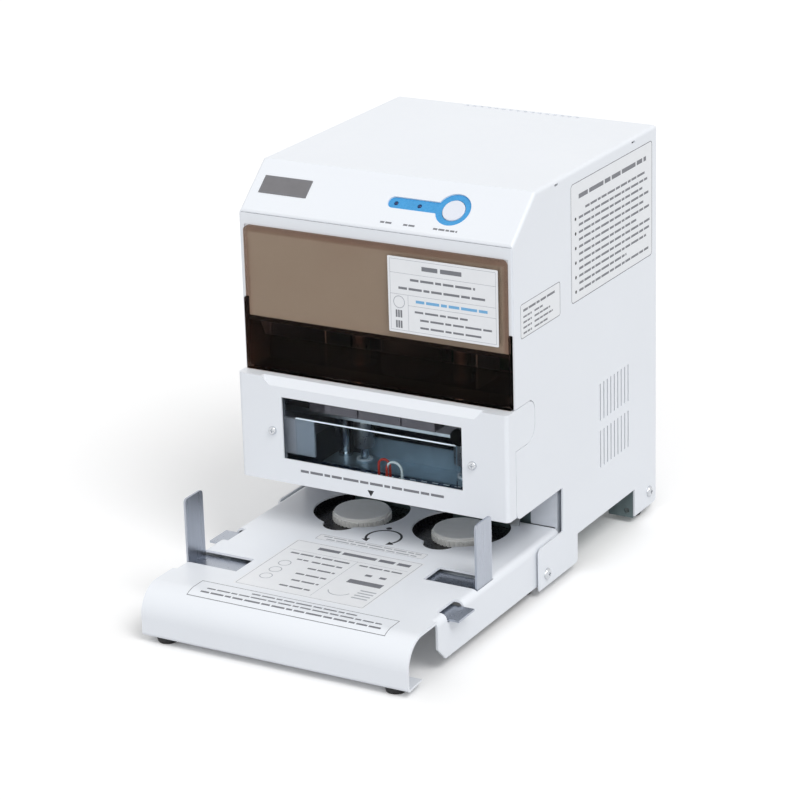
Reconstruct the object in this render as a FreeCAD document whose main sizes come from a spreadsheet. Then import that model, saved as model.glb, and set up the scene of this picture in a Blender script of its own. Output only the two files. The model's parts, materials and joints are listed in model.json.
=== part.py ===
import FreeCAD, Part
import Sketcher
import math
import os
from types import SimpleNamespace

from FreeCAD import Placement, Rotation, Vector

# Two-hole electric paper drill for a desk: a white steel casing over a paper table, with two
# hollow drills on a motor-driven head that comes down on turnable anvil discs.
# Millimetres. X to the right seen from the front, front faces -Y, +Z up.
# The origin is the centre of the footprint on the desk.

SIZES = {
    # casing: top, slope and sides in one folded sheet
    "body_width": 210.0,
    "body_height": 290.0,
    "body_rear": 183.0,
    "cover_sheet": 1.2,
    "top_front": 3.1,
    "slope_low_front": 35.5,
    "slope_drop": 27.4,
    "side_front": 36.0,
    "hem_drop": 1.1,
    "throat_back": 32.0,
    "throat_roof": 69.6,
    "throat_corner_radius": 6.0,
    "leg_drop": 1.5,
    "leg_front": 4.5,
    "leg_rear": 54.4,
    "leg_corner_radius": 5.0,
    "case_bottom": 6.0,
    "belly_height": 27.0,
    "rear_foot_front": 147.0,
    "foot_corner_radius": 3.0,
    "case_bend_radius": 2.5,
    "vent_front": 90.8,
    "vent_pitch": 5.6,
    "vent_slot_width": 1.6,
    "vent_slot_height": 27.8,
    "vent_low": 63.5,
    "vent_high": 98.5,
    "top_vent_pitch": 5.9,
    "top_vent_width": 3.4,
    "top_vent_depth": 2.4,
    "top_vent_back": 2.0,
    "relief_front": 24.5,
    "relief_rear": 142.9,
    "relief_length": 5.0,
    "relief_height": 1.4,
    "overrun": 5.0,
    "seam": 0.4,
    "running_gap": 0.3,
    "shaft_gap": 0.05,
    # control panel on the slope
    "ring_centre_right": 52.5,
    "ring_centre_up": 20.7,
    "ring_radius": 12.7,
    "stem_left": 3.1,
    "stem_width": 9.2,
    "button_radius": 8.1,
    "button_height": 5.0,
    "button_sunk": 0.5,
    "button_travel": 1.5,
    "button_edge_radius": 0.8,
    "button_flange": 1.4,
    "escutcheon_thickness": 2.0,
    "escutcheon_margin": 3.0,
    "switch_block_width": 24.0,
    "switch_block_depth": 7.0,
    "lamp_radius": 1.6,
    "lamp_height": 3.5,
    "lamp_proud": 0.5,
    "first_lamp_right": 8.9,
    "second_lamp_right": 26.7,
    # front cover with the window
    "cover_front": 47.6,
    "cover_low": 72.1,
    "cover_top": 148.3,
    "cover_bend_radius": 3.0,
    "cover_flange_rear": 39.4,
    "ledge_inset": 19.0,
    "ledge_height": 6.0,
    "ledge_depth": 3.6,
    "ear_rear": 8.3,
    "ear_low": 119.5,
    "ear_top_radius": 8.0,
    "ear_low_radius": 12.0,
    "window_inset": 34.6,
    "window_low": 89.7,
    "window_high": 134.9,
    "pane_thickness": 2.0,
    "pane_margin": 3.2,
    "cover_screw_inset": 26.7,
    "cover_screw_height": 109.4,
    "cover_screw_radius": 1.5,
    "cover_screw_head_radius": 3.0,
    "cover_screw_head_height": 1.8,
    "cross_length": 3.2,
    "cross_width": 0.8,
    "cross_depth": 0.9,
    "shield_inset": 42.0,
    "shield_front": 42.2,
    "shield_thickness": 1.5,
    "shield_high": 118.5,
    "bumper_radius": 6.0,
    "bumper_thickness": 2.6,
    "bumper_height": 126.0,
    "bumper_inset": 39.0,
    "bumper_edge_radius": 0.6,
    # chip box and what stands behind it
    "box_front": 38.5,
    "box_front_thickness": 2.5,
    "box_wall": 2.0,
    "box_rear": 14.0,
    "box_gap": 0.3,
    "box_drop": 10.6,
    "box_step": 200.0,
    "box_step_width": 1.8,
    "box_side_gap": 0.9,
    "box_back_height": 163.0,
    "box_side_shoulder": 33.0,
    "box_corner_radius": 4.0,
    "frame_face_front": 36.5,
    "plate_low": 187.0,
    "shelf_thickness": 1.5,
    # paper table
    "table_height": 38.5,
    "table_sheet": 1.6,
    "table_inset": 2.7,
    "table_front": 183.0,
    "table_rear": 31.0,
    "lip_radius": 20.0,
    "lip_bottom": 4.5,
    "lip_bottom_radius": 2.5,
    "lip_return": 20.0,
    "lip_taper": 1.2,
    "flange_front": 143.0,
    "flange_rear": 1.0,
    "flange_bottom": 8.5,
    "flange_chamfer": 10.0,
    "flange_bend_radius": 5.0,
    "rear_bend_depth": 5.5,
    "hole_pitch": 80.0,
    "disc_back": 4.4,
    "drill_back": 11.4,
    "table_hole_radius": 34.5,
    "notch_radius": 12.0,
    "notch_front": 26.3,
    # side guides and their pinion
    "guide_centre_front": 96.35,
    "guide_module": 1.0,
    "guide_pinion_teeth": 20,
    "guide_width": 21.3,
    "guide_sheet": 1.5,
    "guide_rise": 45.0,
    "guide_corner_radius": 3.0,
    "guide_inset": 4.6,
    "guide_travel": 38.0,
    "guide_strip_drop": 3.3,
    "strip_overhang": 10.0,
    "slot_clearance": 0.9,
    "exit_inset": 10.5,
    "exit_gap": 1.3,
    "carrier_inset": 15.0,
    "carrier_half_width": 37.5,
    "carrier_sheet": 1.2,
    "pinion_pin_radius": 2.5,
    "pinion_thickness": 3.0,
    # base under the discs
    "casting_front": 44.0,
    "casting_rear": 33.0,
    "casting_height": 16.9,
    "pocket_depth": 5.4,
    "casting_corner_radius": 2.0,
    "pocket_margin": 2.0,
    "disc_radius": 19.8,
    "knurl_radius": 21.0,
    "knurl_depth": 0.9,
    "knurl_teeth": 40,
    "knurl_drop": 2.5,
    "disc_drop": 0.2,
    "disc_edge_radius": 0.8,
    "disc_pin_radius": 3.0,
    "disc_pin_drop": 0.7,
    # steel frames inside
    "frame_inset": 4.6,
    "frame_sheet": 2.0,
    "frame_leg_front": 3.0,
    "frame_leg_rear": 52.0,
    "frame_leg_drop": 2.3,
    "frame_bottom": 8.0,
    "frame_front": 39.0,
    "frame_nose_rear": 12.0,
    "frame_drop": 40.0,
    "frame_rear": 150.0,
    "frame_flange_inset": 31.0,
    "frame_flange_low": 76.0,
    "bracket_wing_inset": 55.0,
    "bracket_wing_low": 91.0,
    "bracket_wing_high": 117.0,
    "throat_wall_inset": 25.0,
    "foot_flange_inset": 27.0,
    "foot_flange_front": 9.0,
    "boss_radius": 5.0,
    "deck_low": 70.0,
    "deck_sheet": 3.0,
    "deck_front": 37.0,
    "dash_pitch": 9.1,
    "dash_length": 4.6,
    "dash_width": 2.2,
    "dash_front": 6.0,
    "gauge_sheet": 2.0,
    "gauge_inset": 30.0,
    "edge_margin": 12.0,
    "gauge_gap": 0.5,
    "gauge_flange": 5.0,
    "bridge_sheet": 3.0,
    "bridge_front": 18.0,
    "bridge_rear": 96.0,
    "bridge_tab": 14.0,
    "bridge_land": 10.0,
    "bridge_gap": 2.4,
    "column_radius": 6.0,
    "column_inset": 25.0,
    "bush_gap": 0.6,
    "bottom_sheet": 1.5,
    "bottom_front": 34.0,
    "bottom_rear": 178.6,
    "bottom_wall_inset": 25.5,
    "panel_thickness": 1.2,
    "panel_low": 28.7,
    # feet and casing screws
    "foot_radius": 8.0,
    "foot_height": 4.5,
    "foot_taper": 1.2,
    "foot_edge_radius": 0.8,
    "foot_inset": 17.0,
    "front_foot_front": 173.5,
    "middle_foot_back": 1.0,
    "rear_foot_width": 19.6,
    "rear_foot_gap": 0.2,
    "rear_foot_sheet": 1.5,
    "rear_foot_rear": 178.4,
    "rear_foot_hole_radius": 2.0,
    "leg_screw_back": 7.0,
    "leg_screw_height": 15.0,
    "rear_screw_back": 171.5,
    "rear_screw_height": 17.0,
    "case_screw_radius": 2.0,
    "case_screw_head_radius": 4.2,
    "case_screw_head_height": 2.2,
    # drilling head
    "head_low": 111.0,
    "head_plate_thickness": 4.0,
    "head_inset": 15.0,
    "head_front": 12.0,
    "head_rear": 60.0,
    "bush_radius": 9.0,
    "bush_low": 110.4,
    "bush_length": 18.0,
    "housing_wall": 2.5,
    "spring_room_height": 15.7,
    "web_thickness": 2.0,
    "nose_half_width": 43.0,
    "nose_front": 35.0,
    "nose_rise": 8.0,
    "nose_step": 2.3,
    "nose_groove_right": 17.0,
    "nose_groove_width": 1.2,
    "nose_pocket_half_width": 15.0,
    "nose_pocket_wall": 2.0,
    "nose_pocket_depth": 12.0,
    "gear_module": 2.0,
    "spindle_teeth": 22,
    "motor_teeth": 18,
    "gear_gap": 0.8,
    "gear_thickness": 7.0,
    "spindle_radius": 6.0,
    "spindle_bore": 3.4,
    "spindle_nose_radius": 7.5,
    "spindle_nose_low": 84.0,
    "spindle_nose_high": 104.0,
    "bearing_radius": 10.5,
    "bearing_height": 5.0,
    "drill_radius": 3.0,
    "drill_bore": 2.3,
    "drill_tip": 75.0,
    "drill_shank_top": 100.0,
    "drill_bevel": 1.6,
    "motor_radius": 21.0,
    "motor_height": 51.7,
    "motor_edge_radius": 2.0,
    "motor_shaft_radius": 3.0,
    "motor_shaft_height": 19.7,
    "chute_half_width": 60.0,
    "chute_sheet": 1.2,
    "chute_front": 24.0,
    "chute_rear": 28.0,
    "chute_gap": 6.8,
    "chute_rise": 12.2,
    "chute_side_height": 8.0,
    "chute_leg_front": 4.0,
    # paper clamp
    "clamp_low": 70.5,
    "clamp_sheet": 3.0,
    "clamp_front": 3.0,
    "clamp_rear": 21.4,
    "clamp_half_width": 66.0,
    "clamp_hole_radius": 4.0,
    "clamp_flange_half_width": 46.0,
    "clamp_flange_sheet": 1.4,
    "clamp_flange_height": 14.5,
    "clamp_bush_radius": 6.0,
    "clamp_bush_height": 0.8,
    "clamp_rod_right": 58.0,
    "clamp_rod_back": 15.5,
    "clamp_rod_radius": 3.5,
    "clamp_rod_foot_radius": 5.2,
    "clamp_rod_foot_height": 2.0,
    "clamp_rod_head_radius": 5.2,
    "clamp_rod_head_height": 2.0,
    "spring_wire": 1.0,
    # feed drive
    "feed_module": 1.0,
    "feed_teeth": 18,
    "feed_pinion_height": 170.0,
    "rack_half_width": 5.0,
    "rack_thickness": 9.0,
    "rack_top": 214.0,
    "rack_tooth_count": 17,
    "feed_shaft_radius": 4.0,
    "feed_bracket_left": 8.0,
    "feed_bracket_sheet": 2.5,
    "feed_bracket_front": 62.5,
    "feed_bracket_rear": 112.0,
    "feed_bracket_top": 198.0,
    "feed_bracket_foot": 20.0,
    "gearbox_right": 40.0,
    "gearbox_low": 152.0,
    "gearbox_high": 190.0,
    "gearbox_rear": 106.0,
    "feed_motor_radius": 17.0,
    "feed_motor_inset": 13.0,
    "feed_motor_back": 86.0,
    # power and control
    "board_half_width": 62.0,
    "board_low": 82.0,
    "board_high": 202.0,
    "board_thickness": 1.6,
    "board_front": 158.0,
    "stand_off_radius": 3.0,
    "stand_off_inset": 7.0,
    "relay_width": 22.0,
    "relay_depth": 14.0,
    "relay_height": 28.0,
    "relay_pitch": 40.0,
    "transformer_left": 70.0,
    "transformer_right": 8.0,
    "transformer_front": 84.0,
    "transformer_rear": 132.0,
    "transformer_height": 36.0,
    "coil_overhang": 7.0,
    "coil_inset": 8.0,
    "back_vent_count": 14,
    "back_vent_pitch": 9.0,
    "back_vent_width": 3.0,
    "back_vent_low": 196.0,
    "back_vent_height": 42.0,
    "inlet_inset": 33.0,
    "inlet_height": 56.0,
    "inlet_half_width": 14.0,
    "inlet_half_height": 11.0,
    "inlet_flange": 2.0,
    "inlet_flange_margin": 3.0,
    "inlet_depth": 22.0,
    "inlet_socket_depth": 16.0,
    "inlet_wall": 2.0,
    "inlet_pin_width": 1.0,
    "inlet_pin_height": 4.0,
    "inlet_pin_spread": 7.0,
    "fuse_pitch": 26.0,
    "fuse_radius": 6.5,
    "fuse_cap_radius": 7.5,
    "fuse_cap_height": 2.2,
    "fuse_depth": 26.0,
    "rocker_pitch": 24.0,
    "rocker_half_width": 6.0,
    "rocker_half_height": 10.0,
    "rocker_frame": 2.0,
    "rocker_frame_proud": 1.4,
    "rocker_depth": 16.0,
    "rocker_pivot_inset": 3.0,
    "rocker_pivot_radius": 1.5,
    "rocker_proud": 0.8,
    "lead_radius": 0.9,
    "lead_leg_height": 13.5,
    "lead_front": 24.0,
    "red_lead_right": -5.0,
    "white_lead_right": 6.0,
    "red_loop_radius": 4.5,
    "white_loop_radius": 6.0,
}

# plain shares and counts
VENT_SLOTS = 9
TOP_VENTS = 16
DASHES = 15
ROCKER_TILT = 7.0
HALF_TURN = 180
PRESSURE_ANGLE = 20.0
BACKLASH_SHARE = 0.06
ADDENDUM_SHARE = 1.0
DEDENDUM_SHARE = 1.25
SIDES = {"left": -1, "right": 1}

doc = FreeCAD.newDocument("paper_drill")
sheet = doc.addObject("Spreadsheet::Sheet", "Sizes")
finished = []


class Length:
    """A size that knows its value and the sheet formula that gives it."""

    def __init__(self, value, formula):
        self.value = value
        self.formula = formula

    def __add__(self, other):
        return joined(self, "+", other)

    def __radd__(self, other):
        return joined(other, "+", self)

    def __sub__(self, other):
        return joined(self, "-", other)

    def __rsub__(self, other):
        return joined(other, "-", self)

    def __mul__(self, other):
        return joined(self, "*", other)

    def __rmul__(self, other):
        return joined(other, "*", self)

    def __truediv__(self, other):
        return joined(self, "/", other)

    def __neg__(self):
        return Length(-self.value, f"(-{self.formula})")


def as_length(number):
    return number if isinstance(number, Length) else Length(number, repr(number))


def joined(first, sign, second):
    first = as_length(first)
    second = as_length(second)
    results = {
        "+": lambda a, b: a + b,
        "-": lambda a, b: a - b,
        "*": lambda a, b: a * b,
        "/": lambda a, b: a / b,
    }
    value = results[sign](first.value, second.value)
    return Length(value, f"({first.formula} {sign} {second.formula})")


def ordered(first, second):
    """Both lengths with the lower one first."""
    return (first, second) if first.value <= second.value else (second, first)


def diagonal(first, second):
    value = math.hypot(first.value, second.value)
    return Length(value, f"sqrt({first.formula} ^ 2 + {second.formula} ^ 2)")


def read_sizes():
    """Fills the sheet with the driving dimensions and returns them by name."""
    for row, (name, value) in enumerate(SIZES.items(), start=1):
        sheet.set(f"A{row}", str(value))
        sheet.setAlias(f"A{row}", name)
    doc.recompute()
    lengths = {name: Length(float(value), f"Sizes.{name}") for name, value in SIZES.items()}
    return SimpleNamespace(**lengths)


d = read_sizes()


# helpers that make bound objects


def bind(item, prop, length):
    item.setExpression(prop, as_length(length).formula)


def move(item, point):
    for axis, length in zip("xyz", point):
        bind(item, f"Placement.Base.{axis}", length)


def box(name, low, high):
    item = doc.addObject("Part::Box", name)
    for prop, start, end in zip(("Length", "Width", "Height"), low, high):
        bind(item, prop, end - start)
    move(item, low)
    return item


TURNS = {
    "x": Rotation(Vector(0, 1, 0), 90),
    "y": Rotation(Vector(1, 0, 0), -90),
    "z": Rotation(),
}


def cylinder(name, foot, radius, height, along="z"):
    item = doc.addObject("Part::Cylinder", name)
    item.Placement = Placement(Vector(), TURNS[along])
    bind(item, "Radius", radius)
    bind(item, "Height", height)
    move(item, foot)
    return item


def fuse(name, items):
    item = doc.addObject("Part::MultiFuse", name)
    item.Shapes = items
    item.Refine = True
    return item


def cut(name, base, tools):
    tool = tools[0] if len(tools) == 1 else fuse(name + "_tools", tools)
    item = doc.addObject("Part::Cut", name)
    item.Base = base
    item.Tool = tool
    item.Refine = True
    return item


def shared(name, items):
    item = doc.addObject("Part::MultiCommon", name)
    item.Shapes = items
    return item


def group(name, items):
    item = doc.addObject("Part::Compound", name)
    item.Links = items
    return item


def fillet(name, base, chosen, radius):
    """Rounds the edges of base for which chosen(edge) is true."""
    doc.recompute()
    item = doc.addObject("Part::Fillet", name)
    item.Base = base
    edges = enumerate(base.Shape.Edges, start=1)
    item.Edges = [(index, radius.value, radius.value) for index, edge in edges if chosen(edge)]
    return item


def finish(item, name):
    item.Label = name
    finished.append(item)
    return item


def sketch_on(body, plane, name, offset):
    sketch = body.newObject("Sketcher::SketchObject", name)
    origin_plane = [f for f in body.Origin.OriginFeatures if f.Role == f"{plane}_Plane"][0]
    sketch.AttachmentSupport = [(origin_plane, "")]
    sketch.MapMode = "FlatFace"
    if offset is not None:
        bind(sketch, "AttachmentOffset.Base.z", offset)
    return sketch


def hold_point(sketch, geometry, place, corner):
    """Ties a sketch point to the formulas of its two coordinates."""
    for kind, axis, length in (("DistanceX", -2, corner[0]), ("DistanceY", -1, corner[1])):
        length = as_length(length)
        if length.value == 0:
            sketch.addConstraint(Sketcher.Constraint("PointOnObject", geometry, place, axis))
            continue
        tie = Sketcher.Constraint(kind, -1, 1, geometry, place, length.value)
        index = sketch.addConstraint(tie)
        bind(sketch, f"Constraints[{index}]", length)


def draw_outline(sketch, outline):
    """Draws a closed outline of corners (u, v) or (u, v, radius), tied to their formulas."""
    corners = [Vector(as_length(c[0]).value, as_length(c[1]).value, 0) for c in outline]
    count = len(corners)
    radii = [c[2] if len(c) > 2 else None for c in outline]
    ends = []
    for i, corner in enumerate(corners):
        before = (corners[i - 1] - corner).normalize()
        after = (corners[(i + 1) % count] - corner).normalize()
        half = before.getAngle(after) / 2
        reach = radii[i].value / math.tan(half) if radii[i] else 0
        ends.append((corner + before * reach, corner + after * reach))
    lines = []
    for i in range(count):
        segment = Part.LineSegment(ends[i][1], ends[(i + 1) % count][0])
        lines.append(sketch.addGeometry(segment, False))
    for i, corner in enumerate(corners):
        arriving = lines[i - 1]
        leaving = lines[i]
        if radii[i] is None:
            sketch.addConstraint(Sketcher.Constraint("Coincident", arriving, 2, leaving, 1))
            hold_point(sketch, leaving, 1, outline[i])
            continue
        arc, forwards = corner_arc(corners[i - 1], corner, ends[i], radii[i].value)
        arc_id = sketch.addGeometry(arc, False)
        point_id = sketch.addGeometry(Part.Point(corner), True)
        for line in (arriving, leaving):
            sketch.addConstraint(Sketcher.Constraint("PointOnObject", point_id, 1, line))
        hold_point(sketch, point_id, 1, outline[i])
        first, last = (1, 2) if forwards else (2, 1)
        sketch.addConstraint(Sketcher.Constraint("Tangent", arriving, 2, arc_id, first))
        sketch.addConstraint(Sketcher.Constraint("Tangent", arc_id, last, leaving, 1))
        index = sketch.addConstraint(Sketcher.Constraint("Radius", arc_id, radii[i].value))
        bind(sketch, f"Constraints[{index}]", radii[i])


def corner_arc(before, corner, ends, radius):
    """The tangent arc at a corner, and whether it runs anticlockwise along the outline."""
    start, end = ends
    arriving = (corner - before).normalize()
    leaving = (end - corner).normalize()
    left_turn = arriving.cross(leaving).z > 0
    side = Vector(-arriving.y, arriving.x, 0) if left_turn else Vector(arriving.y, -arriving.x, 0)
    centre = start + side * radius
    angles = [math.atan2(p.y - centre.y, p.x - centre.x) for p in (start, end)]
    if not left_turn:
        angles.reverse()
    circle = Part.Circle(centre, Vector(0, 0, 1), radius)
    return Part.ArcOfCircle(circle, angles[0], angles[1]), left_turn


def prism(name, plane, outline, low, high):
    """A padded outline between two places along the normal of XY, XZ or YZ."""
    body = doc.addObject("PartDesign::Body", name)
    offset = -high if plane == "XZ" else low
    sketch = sketch_on(body, plane, name + "_sketch", offset)
    draw_outline(sketch, outline)
    pad = body.newObject("PartDesign::Pad", name + "_pad")
    pad.Profile = sketch
    bind(pad, "Length", high - low)
    body.Tip = pad
    return body


def turned(name, outline, foot, along="z"):
    """A revolved outline of corners (radius, height) standing at foot."""
    body = doc.addObject("PartDesign::Body", name)
    sketch = sketch_on(body, "XZ", name + "_sketch", None)
    draw_outline(sketch, outline)
    turn = body.newObject("PartDesign::Revolution", name + "_turn")
    turn.Profile = sketch
    turn.ReferenceAxis = (sketch, ["V_Axis"])
    turn.Angle = 360
    body.Tip = turn
    body.Placement = Placement(Vector(), TURNS[along])
    move(body, foot)
    return body


def rectangle(u_low, u_high, v_low, v_high, radius=None):
    corners = [(u_low, v_low), (u_high, v_low), (u_high, v_high), (u_low, v_high)]
    return [c + (radius,) for c in corners] if radius else corners


def ring(name, foot, outer, inner, height, along="z"):
    wall = cylinder(name + "_outside", foot, outer, height, along)
    bore = cylinder(name + "_bore", foot, inner, height, along)
    return cut(name, wall, [bore])


def solid_feature(name, shape, place):
    item = doc.addObject("Part::Feature", name)
    item.Shape = shape
    item.Placement = place
    return item


# places shared by several pieces

HALF_WIDTH = d.body_width / 2
INNER_HALF = HALF_WIDTH - d.cover_sheet
FRAME_OUT = HALF_WIDTH - d.frame_inset
TABLE_HALF = HALF_WIDTH - d.table_inset
GUIDE_OUT = HALF_WIDTH - d.guide_inset
EXIT_INNER = HALF_WIDTH - d.exit_inset
CARRIER_HALF = HALF_WIDTH - d.carrier_inset
FRAME_FLANGE_INNER = HALF_WIDTH - d.frame_flange_inset
THROAT_WALL_INNER = HALF_WIDTH - d.throat_wall_inset
FOOT_FLANGE_INNER = HALF_WIDTH - d.foot_flange_inset
COLUMN_RIGHT = HALF_WIDTH - d.column_inset
BOTTOM_WALL_HALF = HALF_WIDTH - d.bottom_wall_inset
HEAD_HALF = HALF_WIDTH - d.head_inset
COVER_SCREW_RIGHT = HALF_WIDTH - d.cover_screw_inset
WINDOW_HALF = HALF_WIDTH - d.window_inset
SHIELD_HALF = HALF_WIDTH - d.shield_inset
BUMPER_RIGHT = HALF_WIDTH - d.bumper_inset
LEDGE_HALF = HALF_WIDTH - d.ledge_inset
BRACKET_WING_INNER = HALF_WIDTH - d.bracket_wing_inset
GAUGE_HALF = HALF_WIDTH - d.gauge_inset
FEED_MOTOR_RIGHT = HALF_WIDTH - d.feed_motor_inset
INLET_LEFT = HALF_WIDTH - d.inlet_inset
FOOT_RIGHT = HALF_WIDTH - d.foot_inset
REAR_FOOT_OUTER = INNER_HALF - d.rear_foot_gap
REAR_FOOT_INNER = REAR_FOOT_OUTER - d.rear_foot_width
FUSE_LEFT = INLET_LEFT - d.fuse_pitch
ROCKER_LEFT = FUSE_LEFT - d.rocker_pitch
SLOT_INNER = GUIDE_OUT - d.guide_sheet - d.guide_travel - d.slot_clearance
SLOPE_LOW = d.body_height - d.slope_drop
HEM_HEIGHT = SLOPE_LOW - d.hem_drop
BOX_TOP = SLOPE_LOW - d.box_drop
FRAME_TOP = d.body_height - d.frame_drop
SLOPE_RUN = d.slope_low_front - d.top_front
SLOPE_RISE = d.slope_drop
SLOPE_LENGTH = diagonal(SLOPE_RUN, SLOPE_RISE)
SLOPE_ANGLE = math.degrees(math.atan2(SLOPE_RISE.value, SLOPE_RUN.value))
TABLE_UNDER = d.table_height - d.table_sheet
CASTING_BOTTOM = TABLE_UNDER - d.casting_height
CASTING_FLOOR = TABLE_UNDER - d.pocket_depth
KNURL_TOP = d.table_height - d.knurl_drop
DISC_TOP = d.table_height - d.disc_drop
DISC_PIN_TOP = DISC_TOP - d.disc_pin_drop
GUIDE_STRIP_LOW = TABLE_UNDER - d.guide_strip_drop
EXIT_LOW = GUIDE_STRIP_LOW - d.exit_gap
FRAME_LEG_TOP = TABLE_UNDER - d.frame_leg_drop
GAUGE_LOW = d.table_height + d.gauge_gap
LEG_TOP = d.table_height - d.leg_drop
DECK_TOP = d.deck_low + d.deck_sheet
FRAME_IN = FRAME_OUT - d.frame_sheet
HOLE_RIGHT = d.hole_pitch / 2
HEAD_TOP = d.head_low + d.head_plate_thickness
WEB_LOW = HEAD_TOP + d.spring_room_height
WEB_HIGH = WEB_LOW + d.web_thickness
GEAR_LOW = WEB_HIGH + d.gear_gap
HOUSING_CEILING = GEAR_LOW + d.gear_thickness + d.gear_gap
HOUSING_TOP = HOUSING_CEILING + d.bearing_height
NOSE_LOW = HEAD_TOP + d.nose_rise
NOSE_HIGH = HOUSING_TOP - d.nose_step
MOTOR_TOP = HOUSING_TOP + d.motor_height
MOTOR_SHAFT_TOP = HOUSING_TOP + d.motor_shaft_height
CHUTE_LOW = MOTOR_TOP + d.chute_gap
CHUTE_HIGH = CHUTE_LOW + d.chute_rise
SPINDLE_PITCH_RADIUS = d.gear_module * d.spindle_teeth / 2
GEAR_TIP = SPINDLE_PITCH_RADIUS + d.gear_module
HOUSING_FRONT = -(GEAR_TIP + d.spring_wire + d.housing_wall - d.drill_back)
HOUSING_REAR = GEAR_TIP + d.spring_wire + d.housing_wall + d.drill_back
HOUSING_HALF = HOLE_RIGHT + GEAR_TIP + d.spring_wire + d.housing_wall
COLUMN_BACK = HOUSING_REAR + d.bush_radius + d.bush_gap
PANEL_REAR = d.bottom_rear + d.panel_thickness
BACK_GAUGE = d.drill_back + d.edge_margin
BOX_LOW = d.cover_top + d.box_gap
BOX_HALF = INNER_HALF - d.box_side_gap
SHELF_LOW = d.cover_top - d.shelf_thickness
GUIDE_PITCH_RADIUS = d.guide_module * d.guide_pinion_teeth / 2
FEED_PITCH_RADIUS = d.feed_module * d.feed_teeth / 2
RACK_PITCH_BACK = d.head_rear
FEED_BACK = RACK_PITCH_BACK + FEED_PITCH_RADIUS


def on_slope():
    """The frame of the slope: X to the right, Y up the slope, Z out of it."""
    start = Vector(0, -d.slope_low_front.value, SLOPE_LOW.value)
    return Placement(start, Rotation(Vector(1, 0, 0), SLOPE_ANGLE))


def lay_on_slope(item):
    """Places an item drawn flat so that its XY plane is the outside of the slope."""
    item.Placement = on_slope()
    bind(item, "Placement.Base.y", -d.slope_low_front)
    bind(item, "Placement.Base.z", SLOPE_LOW)
    bind(item, "Placement.Rotation.Angle",
         Length(SLOPE_ANGLE, f"atan2({SLOPE_RISE.formula}; {SLOPE_RUN.formula})"))
    return item


# gear and rack teeth


def involute_point(base_radius, roll):
    """A point of the involute of a circle, as a radius and an angle."""
    radius = base_radius * math.hypot(1, roll)
    return radius, roll - math.atan(roll)


def gear_solid(module, teeth, thickness, bore):
    """A spur gear on Z with a tooth on the X axis."""
    pitch = module * teeth / 2
    base = pitch * math.cos(math.radians(PRESSURE_ANGLE))
    tip = pitch + ADDENDUM_SHARE * module
    root = pitch - DEDENDUM_SHARE * module
    pressure = math.radians(PRESSURE_ANGLE)
    half_tooth = (math.pi / 2 - BACKLASH_SHARE * math.pi / 2) / teeth + math.tan(pressure) - pressure
    tip_roll = math.sqrt((tip / base) ** 2 - 1)
    edges = []
    last = None
    first = None
    for tooth in range(teeth):
        middle = 2 * math.pi * tooth / teeth
        flank = [involute_point(base, share * tip_roll) for share in (0, 0.5, 1)]
        rising = [polar(r, middle - half_tooth + a) for r, a in flank]
        falling = [polar(r, middle + half_tooth - a) for r, a in reversed(flank)]
        foot_in = polar(root, middle - half_tooth)
        foot_out = polar(root, middle + half_tooth)
        if last is not None:
            edges.append(Part.makeLine(last, foot_in))
        first = first or foot_in
        if foot_in.distanceToPoint(rising[0]) > module * DEDENDUM_SHARE / teeth:
            edges.append(Part.makeLine(foot_in, rising[0]))
            start, stop = rising[0], falling[2]
        else:
            start, stop = foot_in, foot_out
        edges.append(Part.Arc(start, rising[1], rising[2]).toShape())
        edges.append(Part.makeLine(rising[2], falling[0]))
        edges.append(Part.Arc(falling[0], falling[1], stop).toShape())
        if stop is not foot_out:
            edges.append(Part.makeLine(stop, foot_out))
        last = foot_out
    edges.append(Part.makeLine(last, first))
    face = Part.Face(Part.Wire(edges))
    blank = face.extrude(Vector(0, 0, thickness))
    hole = Part.makeCylinder(bore, thickness)
    return blank.cut(hole)


def polar(radius, angle):
    return Vector(radius * math.cos(angle), radius * math.sin(angle), 0)


def rack_solid(module, count, depth, back):
    """Rack teeth along X that point to +Y, pitch line on the X axis, a gap at the origin."""
    pitch = math.pi * module
    slope = math.tan(math.radians(PRESSURE_ANGLE))
    top = ADDENDUM_SHARE * module
    bottom = -DEDENDUM_SHARE * module
    half = pitch / 4 - BACKLASH_SHARE * pitch / 4
    points = [Vector(0, -back, 0)]
    for tooth in range(count):
        middle = (tooth + 0.5) * pitch
        profile = ((-1, bottom), (-1, top), (1, top), (1, bottom))
        points += [Vector(middle + s * (half - s_top(s, y, slope)), y, 0) for s, y in profile]
    points.append(Vector(count * pitch, -back, 0))
    points.append(points[0])
    face = Part.Face(Part.makePolygon(points))
    return face.extrude(Vector(0, 0, depth))


def s_top(side, height, slope):
    """How much narrower half a rack tooth is at a height over its pitch line."""
    return height * slope


# casing


def side_outline():
    """The casing's side: throat, leg, belly and rear foot along the lower edge."""
    corner = d.foot_corner_radius
    return [
        (-d.side_front, HEM_HEIGHT),
        (-d.side_front, d.throat_roof, d.throat_corner_radius),
        (d.throat_back, d.throat_roof),
        (d.throat_back, LEG_TOP),
        (-d.leg_front, LEG_TOP, d.leg_corner_radius),
        (-d.leg_front, d.case_bottom),
        (d.leg_rear, d.case_bottom, corner),
        (d.leg_rear, d.belly_height),
        (d.rear_foot_front, d.belly_height),
        (d.rear_foot_front, d.case_bottom),
        (d.body_rear, d.case_bottom, corner),
        (d.body_rear, d.body_height),
        (-d.top_front, d.body_height),
        (-d.slope_low_front, SLOPE_LOW),
    ]


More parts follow.
